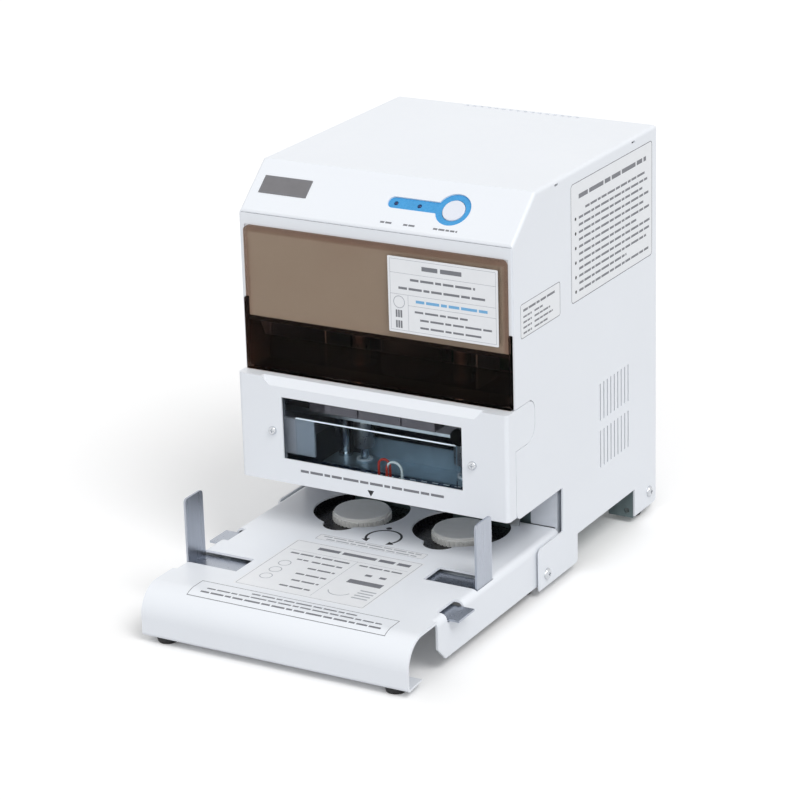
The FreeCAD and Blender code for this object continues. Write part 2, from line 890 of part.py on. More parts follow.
def casing_inside():
    """The space under the folded sheet, open at the front, the back and below."""
    drop = d.cover_sheet * SLOPE_LENGTH / SLOPE_RUN
    front = -d.side_front - d.overrun
    under_top = d.body_height - d.cover_sheet
    beyond = d.side_front + d.overrun - d.slope_low_front
    front_height = SLOPE_LOW - drop - beyond * SLOPE_RISE / SLOPE_RUN
    meet = (under_top + drop - SLOPE_LOW) * SLOPE_RUN / SLOPE_RISE - d.slope_low_front
    return [
        (front, -d.overrun),
        (front, front_height),
        (meet, under_top),
        (d.body_rear + d.overrun, under_top),
        (d.body_rear + d.overrun, -d.overrun),
    ]


def ear_outline(front, grow):
    """The front cover's side with its rounded ear, grown by a seam for the casing's notch."""
    seam = -d.side_front - d.seam + grow
    return [
        (front, d.cover_low),
        (seam, d.cover_low),
        (seam, d.ear_low - grow),
        (-d.ear_rear + grow, d.ear_low - grow, d.ear_low_radius),
        (-d.ear_rear + grow, d.cover_top + grow, d.ear_top_radius),
        (front, d.cover_top + grow),
    ]


def keyhole(name, grow, low, high):
    """The keyhole of the start button, drawn flat on the slope."""
    up = d.ring_centre_up
    half = d.stem_width / 2 + grow
    left = d.stem_left + d.stem_width / 2
    disc = cylinder(name + "_ring", (d.ring_centre_right, up, low), d.ring_radius + grow, high - low)
    stem = box(name + "_stem", (left, up - half, low), (d.ring_centre_right, up + half, high))
    end = cylinder(name + "_end", (left, up, low), half, high - low)
    return fuse(name, [disc, stem, end])


def case_screw_places():
    return ((d.leg_screw_back, d.leg_screw_height), (d.rear_screw_back, d.rear_screw_height))


def body_cover():
    block = prism("cover_block", "YZ", side_outline(), -HALF_WIDTH, HALF_WIDTH)
    inside = prism("cover_inside", "YZ", casing_inside(), -INNER_HALF, INNER_HALF)
    shell = cut("cover_shell", block, [inside])

    def upper_edge(edge):
        middle = edge.BoundBox.Center
        outside = abs(abs(middle.x) - HALF_WIDTH.value) < d.shaft_gap.value
        long_edge = edge.BoundBox.YLength > d.side_front.value / 2
        return outside and long_edge and edge.BoundBox.ZMin > HEM_HEIGHT.value

    rounded = fillet("cover_rounded", shell, upper_edge, d.case_bend_radius)
    tools = [lay_on_slope(keyhole("keyhole_cut", as_length(0), -d.overrun, d.overrun))]
    reach = HALF_WIDTH + d.overrun
    notch = ear_outline(-d.cover_front, d.seam)
    tools.append(prism("ear_notch_right", "YZ", notch, INNER_HALF - d.seam, reach))
    tools.append(prism("ear_notch_left", "YZ", notch, -reach, d.seam - INNER_HALF))
    for column in range(VENT_SLOTS):
        front = d.vent_front + d.vent_pitch * column
        for row, low in enumerate((d.vent_low, d.vent_high)):
            corner = (-reach, front, low)
            far = (reach, front + d.vent_slot_width, low + d.vent_slot_height)
            tools.append(box(f"vent_{row}_{column}", corner, far))
    first = -d.top_vent_pitch * (TOP_VENTS - 1) / 2
    for column in range(TOP_VENTS):
        left = first + d.top_vent_pitch * column - d.top_vent_width / 2
        rear = d.body_rear - d.top_vent_back
        low = (left, rear - d.top_vent_depth, d.body_height - d.overrun)
        high = (left + d.top_vent_width, rear, d.body_height + d.overrun)
        tools.append(box(f"top_vent_{column}", low, high))
    for place, back in (("front", d.relief_front), ("rear", d.relief_rear)):
        low_height = d.body_height - d.case_bend_radius - d.relief_height
        low = (-reach, back, low_height)
        high = (reach, back + d.relief_length, low_height + d.relief_height)
        tools.append(box(f"relief_{place}", low, high))
    for place, (back, height) in enumerate(case_screw_places()):
        hole = d.case_screw_radius + d.running_gap
        tools.append(cylinder(f"case_hole_{place}", (-reach, back, height), hole, reach * 2, "x"))
    finish(cut("body_cover", rounded, tools), "body_cover")


def front_cover():
    block = box("front_block", (-HALF_WIDTH, -d.cover_front, d.cover_low),
                (HALF_WIDTH, -d.side_front - d.seam, d.cover_top))

    def front_corner(edge):
        nearly = d.shaft_gap.value
        on_front = edge.BoundBox.YMax < nearly - d.cover_front.value
        return on_front and edge.BoundBox.XLength < nearly

    rounded = fillet("front_rounded", block, front_corner, d.cover_bend_radius)
    inside = box("front_inside", (-INNER_HALF, d.cover_sheet - d.cover_front, d.cover_low + d.cover_sheet),
                 (INNER_HALF, d.overrun, d.cover_top - d.cover_sheet))
    behind = box("front_behind", (-INNER_HALF, -d.cover_flange_rear, d.cover_low - d.overrun),
                 (INNER_HALF, d.overrun, d.cover_low + d.cover_sheet + d.overrun))
    tray = cut("front_tray", rounded, [inside, behind])
    start = d.cover_bend_radius - d.cover_front
    outline = ear_outline(start, as_length(0))
    ears = [
        prism("ear_right", "YZ", outline, INNER_HALF, HALF_WIDTH),
        prism("ear_left", "YZ", outline, -HALF_WIDTH, -INNER_HALF),
    ]
    reach = -d.cover_front - d.overrun
    ledge_low = d.cover_top - d.ledge_height
    stiffener = box("ledge_bar", (-LEDGE_HALF, -d.cover_front, ledge_low - d.cover_sheet),
                    (LEDGE_HALF, d.ledge_depth + d.cover_sheet - d.cover_front, d.cover_top))
    whole = fuse("front_whole", [tray, stiffener] + ears)
    slant = prism("ledge_slant", "YZ", [
        (-d.cover_front, ledge_low),
        (d.ledge_depth - d.cover_front, d.cover_top),
        (d.ledge_depth - d.cover_front, d.cover_top + d.overrun),
        (reach, d.cover_top + d.overrun),
        (reach, ledge_low),
    ], -HALF_WIDTH, HALF_WIDTH)
    bevel = LEDGE_HALF - d.ledge_height
    ledge_ends = prism("ledge_ends", "XZ", [
        (-bevel, ledge_low),
        (bevel, ledge_low),
        (LEDGE_HALF, d.cover_top),
        (LEDGE_HALF, d.cover_top + d.overrun),
        (-LEDGE_HALF, d.cover_top + d.overrun),
        (-LEDGE_HALF, d.cover_top),
    ], reach, -d.side_front)
    window = box("window_cut", (-WINDOW_HALF, reach, d.window_low),
                 (WINDOW_HALF, -d.side_front - d.overrun, d.window_high))
    holes = [window, shared("ledge_cut", [slant, ledge_ends])]
    for side, sign in SIDES.items():
        foot = (sign * COVER_SCREW_RIGHT, reach, d.cover_screw_height)
        radius = d.cover_screw_radius + d.running_gap
        holes.append(cylinder(f"cover_hole_{side}", foot, radius, d.overrun * 2, "y"))
    finish(cut("front_cover", whole, holes), "front_cover")


def window_pane():
    back = d.cover_sheet - d.cover_front
    item = box("window_pane",
               (-WINDOW_HALF - d.pane_margin, back, d.window_low - d.pane_margin),
               (WINDOW_HALF + d.pane_margin, back + d.pane_thickness, d.window_high + d.pane_margin))
    finish(item, "window_pane")


def inner_shield():
    item = box("inner_shield", (-SHIELD_HALF, -d.shield_front, d.cover_low + d.cover_sheet),
               (SHIELD_HALF, d.shield_thickness - d.shield_front, d.shield_high))
    finish(item, "inner_shield")


def shield_bumper():
    """The rubber disc behind the pane that the head stops against."""
    foot = (BUMPER_RIGHT, d.cover_sheet + d.pane_thickness - d.cover_front, d.bumper_height)
    outline = [
        (as_length(0), as_length(0)),
        (d.bumper_radius, as_length(0)),
        (d.bumper_radius, d.bumper_thickness, d.bumper_edge_radius),
        (as_length(0), d.bumper_thickness),
    ]
    finish(turned("shield_bumper", outline, foot, "y"), "shield_bumper")


def cross_recess(name, axis, face, sign, first, second):
    """Two crossed slots in a screw head; its top is at face along the axis and looks the way of sign."""
    half_length = d.cross_length / 2
    half_width = d.cross_width / 2
    near, far = ordered(face - sign * d.cross_depth, face + sign * d.overrun)
    slots = []
    for place, (wide, tall) in enumerate(((half_length, half_width), (half_width, half_length))):
        low = [first - wide, second - tall]
        high = [first + wide, second + tall]
        low.insert(axis, near)
        high.insert(axis, far)
        slots.append(box(f"{name}_slot_{place}", tuple(low), tuple(high)))
    return slots


def cover_screws():
    screws = []
    for side, sign in SIDES.items():
        foot = (sign * COVER_SCREW_RIGHT, -d.cover_front, d.cover_screw_height)
        length = d.cover_front - d.frame_front + d.frame_sheet
        shank = cylinder(f"cover_shank_{side}", foot, d.cover_screw_radius, length, "y")
        outline = [
            (as_length(0), as_length(0)),
            (d.cover_screw_head_radius, as_length(0)),
            (d.cover_screw_head_radius, -d.cover_screw_head_height, d.button_edge_radius),
            (as_length(0), -d.cover_screw_head_height),
        ]
        head = turned(f"cover_head_{side}", outline, foot, "y")
        face = -d.cover_front - d.cover_screw_head_height
        slots = cross_recess(f"cover_screw_{side}", 1, face, -1, foot[0], d.cover_screw_height)
        screws.append(cut(f"cover_screw_{side}", fuse(f"cover_screw_whole_{side}", [shank, head]), slots))
    finish(group("cover_screws", screws), "cover_screws")


def escutcheon_and_button():
    """The blue keyhole trim under the slope, its lamps and the round start button."""
    under = -d.cover_sheet
    low = under - d.escutcheon_thickness
    plate = keyhole("escutcheon_plate", d.escutcheon_margin, low, under)
    up = d.ring_centre_up
    well = cylinder("button_well", (d.ring_centre_right, up, low - d.overrun),
                    d.button_radius + d.running_gap, d.overrun * 2)
    holes = [well]
    lamps = []
    for place, right in (("first", d.first_lamp_right), ("second", d.second_lamp_right)):
        foot = (right, up, low - d.overrun)
        holes.append(cylinder(f"lamp_hole_{place}", foot, d.lamp_radius, d.overrun * 2))
        outline = [
            (as_length(0), as_length(0)),
            (d.lamp_radius, as_length(0)),
            (d.lamp_radius, d.lamp_height, d.lamp_radius - d.shaft_gap),
            (as_length(0), d.lamp_height),
        ]
        lamp = turned(f"lamp_{place}", outline, (right, up, under + d.lamp_proud - d.lamp_height))
        lamps.append(lamp)
    finish(lay_on_slope(cut("panel_escutcheon", plate, holes)), "panel_escutcheon")
    finish(lay_on_slope(group("status_lamps", lamps)), "status_lamps")
    button_top = -d.button_sunk
    button_low = button_top - d.button_height
    outline = [
        (as_length(0), button_low - d.button_flange),
        (d.button_radius + d.button_flange, button_low - d.button_flange),
        (d.button_radius + d.button_flange, button_low),
        (d.button_radius, button_low),
        (d.button_radius, button_top, d.button_edge_radius),
        (as_length(0), button_top),
    ]
    button = turned("button_turned", outline, (d.ring_centre_right, up, as_length(0)))
    finish(lay_on_slope(group("start_button", [button])), "start_button")
    block_top = button_low - d.button_flange - d.button_travel - d.running_gap
    half = d.switch_block_width / 2
    block = box("switch_block", (d.ring_centre_right - half, up - half, block_top - d.switch_block_depth),
                (d.ring_centre_right + half, up + half, block_top))
    arm_top = under - d.escutcheon_thickness
    arms = []
    for name, sign in SIDES.items():
        inner = d.ring_centre_right + sign * (half - d.button_flange)
        outer = d.ring_centre_right + sign * half
        left, right = (inner, outer) if sign > 0 else (outer, inner)
        arm_low = block_top - d.button_flange
        arms.append(box(f"switch_arm_{name}", (left, up - half, arm_low), (right, up + half, arm_top)))
    finish(lay_on_slope(fuse("start_switch", [block] + arms)), "start_switch")


# chip box


def chip_box():
    """The smoked tray: a tall front panel, stepped sides and a low back wall."""
    front = -d.box_front
    side_profile = [
        (front, BOX_LOW),
        (front, d.box_step),
        (-d.box_side_shoulder, d.box_step),
        (-d.box_rear, d.box_back_height),
        (-d.box_rear, BOX_LOW),
    ]
    tray = prism("box_tray", "YZ", side_profile, -BOX_HALF, BOX_HALF)
    inner_front = front + d.box_front_thickness
    room = box("box_room", (d.box_wall - BOX_HALF, inner_front, BOX_LOW + d.box_wall),
               (BOX_HALF - d.box_wall, -d.box_rear - d.box_wall, d.box_step + d.overrun))
    panel_half = BOX_HALF - d.box_step_width
    panel_outline = [
        (-BOX_HALF, BOX_LOW),
        (BOX_HALF, BOX_LOW),
        (BOX_HALF, d.box_step),
        (panel_half, d.box_step),
        (panel_half, BOX_TOP, d.box_corner_radius),
        (-panel_half, BOX_TOP, d.box_corner_radius),
        (-panel_half, d.box_step),
        (-BOX_HALF, d.box_step),
    ]
    panel = prism("box_panel", "XZ", panel_outline, front, inner_front)
    finish(fuse("chip_box", [cut("box_hollow", tray, [room]), panel]), "chip_box")


def face_frame():
    """The white plate behind the upper part of the chip box, with the band that frames it."""
    step = BOX_HALF - d.box_step_width + d.seam
    back = d.cover_sheet - d.frame_face_front
    edge = INNER_HALF
    top = HEM_HEIGHT - d.cover_sheet
    outline = [
        (-edge, d.box_step + d.seam),
        (-step, d.box_step + d.seam),
        (-step, BOX_TOP + d.seam),
        (step, BOX_TOP + d.seam),
        (step, d.box_step + d.seam),
        (edge, d.box_step + d.seam),
        (edge, top),
        (-edge, top),
    ]
    band = prism("face_band", "XZ", outline, -d.frame_face_front, back)
    inner = BOX_HALF - d.box_wall - d.seam
    plate_outline = [
        (-inner, d.plate_low),
        (inner, d.plate_low),
        (inner, d.box_step + d.seam),
        (edge, d.box_step + d.seam),
        (edge, top),
        (-edge, top),
        (-edge, d.box_step + d.seam),
        (-inner, d.box_step + d.seam),
    ]
    plate = prism("face_plate", "XZ", plate_outline, back, back + d.cover_sheet)
    finish(fuse("face_frame", [band, plate]), "face_frame")


def box_shelf():
    """The plate under the chip box, carried on the noses of the side frames."""
    low = (-FRAME_OUT, -d.side_front, SHELF_LOW)
    finish(box("box_shelf", low, (FRAME_OUT, d.seam - d.box_rear, d.cover_top)), "box_shelf")


# paper table and side guides


def table_plate():
    """One folded sheet: top, rounded front lip with a return, and two side flanges."""
    front = -d.table_front
    sheet_t = d.table_sheet
    inner_radius = d.lip_radius - sheet_t
    foot_inner = d.lip_bottom_radius - sheet_t
    lip_profile = [
        (-d.flange_front, d.table_height),
        (front, d.table_height, d.lip_radius),
        (front, d.lip_bottom, d.lip_bottom_radius),
        (front + d.lip_return, d.lip_bottom),
        (front + d.lip_return, d.lip_bottom + sheet_t),
        (front + sheet_t, d.lip_bottom + sheet_t, foot_inner),
        (front + sheet_t, TABLE_UNDER, inner_radius),
        (-d.flange_front, TABLE_UNDER),
    ]
    lip = prism("table_lip", "YZ", lip_profile, -TABLE_HALF, TABLE_HALF)
    outer = TABLE_HALF
    bend = d.flange_bend_radius
    flanged = [
        (-outer, d.flange_bottom),
        (sheet_t - outer, d.flange_bottom),
        (sheet_t - outer, TABLE_UNDER, bend - sheet_t),
        (outer - sheet_t, TABLE_UNDER, bend - sheet_t),
        (outer - sheet_t, d.flange_bottom),
        (outer, d.flange_bottom),
        (outer, d.table_height, bend),
        (-outer, d.table_height, bend),
    ]
    top = prism("table_top", "XZ", flanged, -d.flange_front, d.table_rear)
    whole = fuse("table_sheet_whole", [lip, top])
    reach = outer + d.overrun
    cuts = [box("table_rear_relief", (-reach, -d.flange_rear, d.flange_bottom - d.overrun),
                (reach, d.table_rear + d.overrun, d.table_height - d.rear_bend_depth))]
    chamfer = [
        (-d.flange_front - d.overrun, d.flange_bottom - d.overrun),
        (d.flange_chamfer - d.flange_front, d.flange_bottom - d.overrun),
        (d.flange_chamfer - d.flange_front, d.flange_bottom),
        (-d.flange_front, d.flange_bottom + d.flange_chamfer),
        (-d.flange_front - d.overrun, d.flange_bottom + d.flange_chamfer),
    ]
    for side, sign in SIDES.items():
        low, high = ordered(sign * (outer - sheet_t * 2), sign * reach)
        cuts.append(prism(f"flange_chamfer_{side}", "YZ", chamfer, low, high))
        taper = [
            (sign * reach, front + d.lip_bottom_radius),
            (sign * outer, front + d.lip_bottom_radius),
            (sign * (outer - d.lip_taper), front + d.lip_return),
            (sign * (outer - d.lip_taper), front + d.lip_return + d.overrun),
            (sign * reach, front + d.lip_return + d.overrun),
        ]
        below = d.lip_bottom - sheet_t
        cuts.append(prism(f"lip_taper_{side}", "XY", taper, below, d.lip_bottom + sheet_t * 2))
        centre = (sign * HOLE_RIGHT, d.disc_back, TABLE_UNDER - sheet_t)
        cuts.append(cylinder(f"table_hole_{side}", centre, d.table_hole_radius, sheet_t * 3))
        notch = (sign * HOLE_RIGHT, -d.notch_front, TABLE_UNDER - sheet_t)
        cuts.append(cylinder(f"table_notch_{side}", notch, d.notch_radius, sheet_t * 3))
        near, far = guide_band(sign)
        clearance = d.slot_clearance
        inner_end, outer_end = ordered(sign * SLOT_INNER, sign * (outer - sheet_t))
        slot = box(f"guide_slot_{side}", (inner_end, near - clearance, TABLE_UNDER - sheet_t * 2),
                   (outer_end, far + clearance, d.table_height + sheet_t))
        near, far = guide_band(-sign)
        inner_end, outer_end = ordered(sign * EXIT_INNER, sign * reach)
        exit_cut = box(f"strip_exit_{side}", (inner_end, near - clearance, EXIT_LOW),
                       (outer_end, far + clearance, d.table_height + sheet_t))
        cuts += [slot, exit_cut]
    finish(cut("table_plate", whole, cuts), "table_plate")


def guide_band(sign):
    """Front and rear edge of the guide strip whose upright stands on this side."""
    gap = GUIDE_PITCH_RADIUS + DEDENDUM_SHARE * d.guide_module
    centre = -d.guide_centre_front
    if sign > 0:
        return centre + gap, centre + gap + d.guide_width
    return centre - gap - d.guide_width, centre - gap


def side_guide(side, sign):
    """A steel strip with an upright tab at its outer end and rack teeth along its inner edge."""
    strip_top = GUIDE_STRIP_LOW + d.guide_sheet
    near, far = guide_band(1)
    far_end = -GUIDE_OUT - d.strip_overhang
    strip = box(f"guide_strip_{side}", (far_end, near, GUIDE_STRIP_LOW), (GUIDE_OUT, far, strip_top))
    corner = d.guide_corner_radius
    tab_top = d.table_height + d.guide_rise
    outline = [
        (near, GUIDE_STRIP_LOW),
        (far, GUIDE_STRIP_LOW),
        (far, tab_top, corner),
        (near, tab_top, corner),
    ]
    tab = prism(f"guide_tab_{side}", "YZ", outline, GUIDE_OUT - d.guide_sheet, GUIDE_OUT)
    pitch = math.pi * d.guide_module.value
    count = math.ceil((d.guide_travel.value + GUIDE_PITCH_RADIUS.value * 2) / pitch)
    # the teeth point to the pinion, so they are turned half round
    teeth = rack_solid(d.guide_module.value, count, d.guide_sheet.value,
                       DEDENDUM_SHARE * d.guide_module.value + d.shaft_gap.value)
    start = pitch * (count - math.ceil(GUIDE_PITCH_RADIUS.value / pitch))
    rack_line = GUIDE_PITCH_RADIUS.value - d.guide_centre_front.value
    half_round = Rotation(Vector(0, 0, 1), HALF_TURN)
    place = Placement(Vector(start, rack_line, GUIDE_STRIP_LOW.value), half_round)
    rack = solid_feature(f"guide_teeth_{side}", teeth, place)
    whole = fuse(f"side_guide_{side}", [strip, tab, rack])
    if sign < 0:
        whole.Placement = Placement(Vector(), half_round)
        bind(whole, "Placement.Base.y", -d.guide_centre_front * 2)
    finish(whole, f"side_guide_{side}")


def guide_drive():
    """The pinion between both racks, its pin and the channel that carries the strips."""
    low = GUIDE_STRIP_LOW - d.box_gap - d.carrier_sheet
    centre = -d.guide_centre_front
    half = d.carrier_half_width
    length = CARRIER_HALF
    outer = box("carrier_block", (-length, centre - half, low), (length, centre + half, TABLE_UNDER))
    floor = low + d.carrier_sheet
    inner = box("carrier_room", (-length - d.overrun, centre - half + d.carrier_sheet, floor),
                (length + d.overrun, centre + half - d.carrier_sheet, TABLE_UNDER + d.overrun))
    pin = cylinder("carrier_pin", (as_length(0), centre, low), d.pinion_pin_radius, TABLE_UNDER - low)
    finish(fuse("guide_carrier", [cut("carrier_channel", outer, [inner]), pin]), "guide_carrier")
    teeth = int(d.guide_pinion_teeth.value)
    gear = gear_solid(d.guide_module.value, teeth, d.pinion_thickness.value,
                      d.pinion_pin_radius.value + d.shaft_gap.value)
    height = low.value + d.carrier_sheet.value + d.box_gap.value
    place = Placement(Vector(0, centre.value, height), Rotation())
    finish(solid_feature("guide_pinion", gear, place), "guide_pinion")


# base with the turnable discs


def base_casting():
    corner = d.casting_corner_radius
    section = [
        (-FRAME_IN, CASTING_BOTTOM),
        (FRAME_IN, CASTING_BOTTOM),
        (FRAME_IN, TABLE_UNDER, corner),
        (-FRAME_IN, TABLE_UNDER, corner),
    ]
    block = prism("casting_block", "XZ", section, -d.casting_front, d.casting_rear)
    pockets = []
    pins = []
    for side, sign in SIDES.items():
        depth = TABLE_UNDER - CASTING_FLOOR + d.overrun
        centre = (sign * HOLE_RIGHT, d.disc_back, CASTING_FLOOR)
        radius = d.table_hole_radius + d.pocket_margin
        pockets.append(cylinder(f"pocket_{side}", centre, radius, depth))
        notch = (sign * HOLE_RIGHT, -d.notch_front, CASTING_FLOOR)
        pockets.append(cylinder(f"pocket_notch_{side}", notch, d.notch_radius + d.pocket_margin, depth))
        pin_height = DISC_PIN_TOP - CASTING_FLOOR
        pins.append(cylinder(f"disc_pin_{side}", centre, d.disc_pin_radius, pin_height))
    finish(fuse("base_casting", [cut("casting_cut", block, pockets)] + pins), "base_casting")


def anvil_disc(side, sign):
    """A plastic disc with a knurled skirt, turned by hand to offer the drill a fresh spot."""
    low = CASTING_FLOOR + d.running_gap
    teeth = int(d.knurl_teeth.value)
    groove = d.knurl_radius - d.knurl_depth
    points = []
    for tooth in range(teeth):
        for share, radius in ((0, d.knurl_radius), (0.5, d.knurl_radius), (0.6, groove), (0.9, groove)):
            points.append(polar(radius.value, 2 * math.pi * (tooth + share) / teeth))
    points.append(points[0])
    skirt = Part.Face(Part.makePolygon(points)).extrude(Vector(0, 0, KNURL_TOP.value - low.value))
    cap_height = DISC_TOP.value - low.value
    cap = Part.makeCylinder(d.disc_radius.value, cap_height)
    rim = [e for e in cap.Edges if e.BoundBox.ZMin > cap_height / 2]
    cap = cap.makeFillet(d.disc_edge_radius.value, rim)
    bore_top = DISC_PIN_TOP.value + d.box_gap.value - low.value
    bore = Part.makeCylinder(d.disc_pin_radius.value + d.shaft_gap.value, bore_top)
    whole = skirt.fuse(cap).cut(bore).removeSplitter()
    place = Placement(Vector(sign * HOLE_RIGHT.value, d.disc_back.value, low.value), Rotation())
    finish(solid_feature(f"anvil_disc_{side}", whole, place), f"anvil_disc_{side}")


# steel frames, deck, columns and bridge


def side_frame(side, sign):
    """A C-shaped side plate round the throat with flanges for the cover, the throat and a foot."""
    profile = [
        (-d.frame_leg_front, d.frame_bottom),
        (d.frame_leg_rear, d.frame_bottom),
        (d.frame_leg_rear, d.panel_low),
        (d.frame_rear, d.panel_low),
        (d.frame_rear, FRAME_TOP),
        (-d.frame_nose_rear, FRAME_TOP),
        (-d.frame_nose_rear, SHELF_LOW),
        (-d.frame_front, SHELF_LOW),
        (-d.frame_front, d.deck_low),
        (d.throat_back, d.deck_low),
        (d.throat_back, FRAME_LEG_TOP),
        (-d.frame_leg_front, FRAME_LEG_TOP),
    ]

    low, high = ordered(sign * FRAME_IN, sign * FRAME_OUT)
    plate = prism(f"frame_plate_{side}", "YZ", profile, low, high)
    flanges = []
    low, high = ordered(sign * FRAME_FLANGE_INNER, sign * FRAME_IN)
    hole_x = sign * COVER_SCREW_RIGHT
    front = box(f"frame_front_{side}", (low, -d.frame_front, d.frame_flange_low),
                (high, d.frame_sheet - d.frame_front, SHELF_LOW))
    screw = cylinder(f"frame_front_hole_{side}", (hole_x, -d.frame_front - d.overrun, d.cover_screw_height),
                     d.cover_screw_radius + d.shaft_gap, d.overrun * 2, "y")
    flanges.append(cut(f"frame_front_cut_{side}", front, [screw]))
    if sign < 0:
        flanges.append(box("frame_wing", (-FRAME_FLANGE_INNER, -d.frame_front, d.bracket_wing_low),
                           (-BRACKET_WING_INNER, d.frame_sheet - d.frame_front, d.bracket_wing_high)))
    low, high = ordered(sign * THROAT_WALL_INNER, sign * FRAME_IN)
    flanges.append(box(f"frame_throat_{side}", (low, d.throat_back, d.table_height + d.running_gap),
                       (high, d.throat_back + d.frame_sheet, d.deck_low)))
    low, high = ordered(sign * FOOT_FLANGE_INNER, sign * FRAME_IN)
    flanges.append(box(f"frame_foot_{side}", (low, -d.foot_flange_front, d.frame_bottom),
                       (high, d.frame_leg_rear, d.frame_bottom + d.frame_sheet)))
    low, high = ordered(sign * FRAME_OUT, sign * INNER_HALF)
    boss_foot = (low, d.leg_screw_back, d.leg_screw_height)
    boss = cylinder(f"frame_boss_{side}", boss_foot, d.boss_radius, high - low, "x")
    whole = fuse(f"frame_whole_{side}", [plate, boss] + flanges)
    start = (-INNER_HALF - d.overrun, d.leg_screw_back, d.leg_screw_height)
    bore_radius = d.case_screw_radius + d.shaft_gap
    bore = cylinder(f"frame_bore_{side}", start, bore_radius, (INNER_HALF + d.overrun) * 2, "x")
    finish(cut(f"side_frame_{side}", whole, [bore]), f"side_frame_{side}")


def deck():
    """The machine deck over the throat, open for the clamp, with a row of slots in front of it."""
    plate = box("deck_plate", (-FRAME_IN, -d.deck_front, d.deck_low), (FRAME_IN, d.frame_rear, DECK_TOP))
    low = d.deck_low - d.overrun
    high = DECK_TOP + d.overrun
    clearance = d.running_gap * 2
    cuts = [box("clamp_opening", (-d.clamp_half_width - clearance, -d.clamp_front - clearance, low),
                (d.clamp_half_width + clearance, d.clamp_rear + clearance, high))]
    first = -d.dash_pitch * (DASHES - 1) / 2
    for place in range(DASHES):
        left = first + d.dash_pitch * place - d.dash_length / 2
        cuts.append(box(f"dash_{place}", (left, -d.dash_front - d.dash_width / 2, low),
                        (left + d.dash_length, d.dash_width / 2 - d.dash_front, high)))
    finish(cut("machine_deck", plate, cuts), "machine_deck")


def back_gauge():
    """The angle behind the drills that the paper edge is pushed against."""
    top = d.deck_low
    outline = [
        (BACK_GAUGE, GAUGE_LOW),
        (BACK_GAUGE + d.gauge_sheet, GAUGE_LOW),
        (BACK_GAUGE + d.gauge_sheet, top - d.gauge_sheet),
        (BACK_GAUGE + d.gauge_sheet + d.gauge_flange, top - d.gauge_sheet),
        (BACK_GAUGE + d.gauge_sheet + d.gauge_flange, top),
        (BACK_GAUGE, top),
    ]
    finish(prism("back_gauge", "YZ", outline, -GAUGE_HALF, GAUGE_HALF), "back_gauge")


def columns_and_bridge():
    bridge_low = FRAME_TOP - d.bridge_sheet
    columns = []
    for side, sign in SIDES.items():
        foot = (sign * COLUMN_RIGHT, COLUMN_BACK, DECK_TOP)
        columns.append(cylinder(f"guide_column_{side}", foot, d.column_radius, bridge_low - DECK_TOP))
    finish(group("guide_columns", columns), "guide_columns")
    outline = [
        (-FRAME_IN, FRAME_TOP),
        (-FRAME_IN, bridge_low - d.bridge_tab),
        (d.frame_sheet - FRAME_IN, bridge_low - d.bridge_tab),
        (d.frame_sheet - FRAME_IN, bridge_low),
        (FRAME_IN - d.frame_sheet, bridge_low),
        (FRAME_IN - d.frame_sheet, bridge_low - d.bridge_tab),
        (FRAME_IN, bridge_low - d.bridge_tab),
        (FRAME_IN, FRAME_TOP),
    ]
    whole = prism("bridge_whole", "XZ", outline, d.bridge_front, d.bridge_rear)
    half = COLUMN_RIGHT - d.column_radius - d.bridge_land
    opening = box("bridge_opening", (-half, d.bridge_front - d.overrun, bridge_low - d.overrun),
                  (half, d.head_rear + d.bridge_gap, FRAME_TOP + d.overrun))
    finish(cut("top_bridge", whole, [opening]), "top_bridge")


def bottom_plate():
    floor_low = d.belly_height
    floor_top = floor_low + d.bottom_sheet
    floor = box("bottom_floor", (-FRAME_IN, d.bottom_front, floor_low),
                (FRAME_IN, d.bottom_rear, floor_top))
    wall_half = BOTTOM_WALL_HALF
    wall = box("bottom_wall", (-wall_half, d.bottom_front, floor_low),
               (wall_half, d.bottom_front + d.bottom_sheet, d.deck_low))
    legs = []
    reach = d.leg_rear
    for side, sign in SIDES.items():
        low, high = ordered(sign * FRAME_IN, sign * (INNER_HALF - d.running_gap))
        legs.append(box(f"bottom_edge_{side}", (low, reach, floor_low), (high, d.bottom_rear, floor_top)))
    finish(fuse("bottom_plate", [floor, wall] + legs), "bottom_plate")


# feet and casing screws


def rubber_foot(name, right, back):
    outline = [
        (as_length(0), as_length(0)),
        (d.foot_radius - d.foot_taper, as_length(0), d.foot_edge_radius),
        (d.foot_radius, d.foot_height),
        (as_length(0), d.foot_height),
    ]
    return turned(name, outline, (right, back, as_length(0)))


def feet():
    """Four low rubber feet at the corners and two taller ones under the side frames."""
    corner_feet = []
    middle_feet = []
    rear_right = (REAR_FOOT_INNER + REAR_FOOT_OUTER) / 2
    rear_back = (d.rear_foot_front + d.body_rear) / 2
    for side, sign in SIDES.items():
        corner_feet.append(rubber_foot(f"front_foot_{side}", sign * FOOT_RIGHT, -d.front_foot_front))
        corner_feet.append(rubber_foot(f"rear_foot_{side}", sign * rear_right, rear_back))
        right = sign * FOOT_RIGHT
        foot = rubber_foot(f"middle_foot_{side}", right, d.middle_foot_back)
        stem_foot = (right, d.middle_foot_back, d.foot_height)
        stem = cylinder(f"middle_stem_{side}", stem_foot, d.foot_radius, d.frame_bottom - d.foot_height)
        middle_feet.append(fuse(f"middle_foot_whole_{side}", [foot, stem]))
    finish(group("corner_feet", corner_feet), "corner_feet")
    finish(group("middle_feet", middle_feet), "middle_feet")


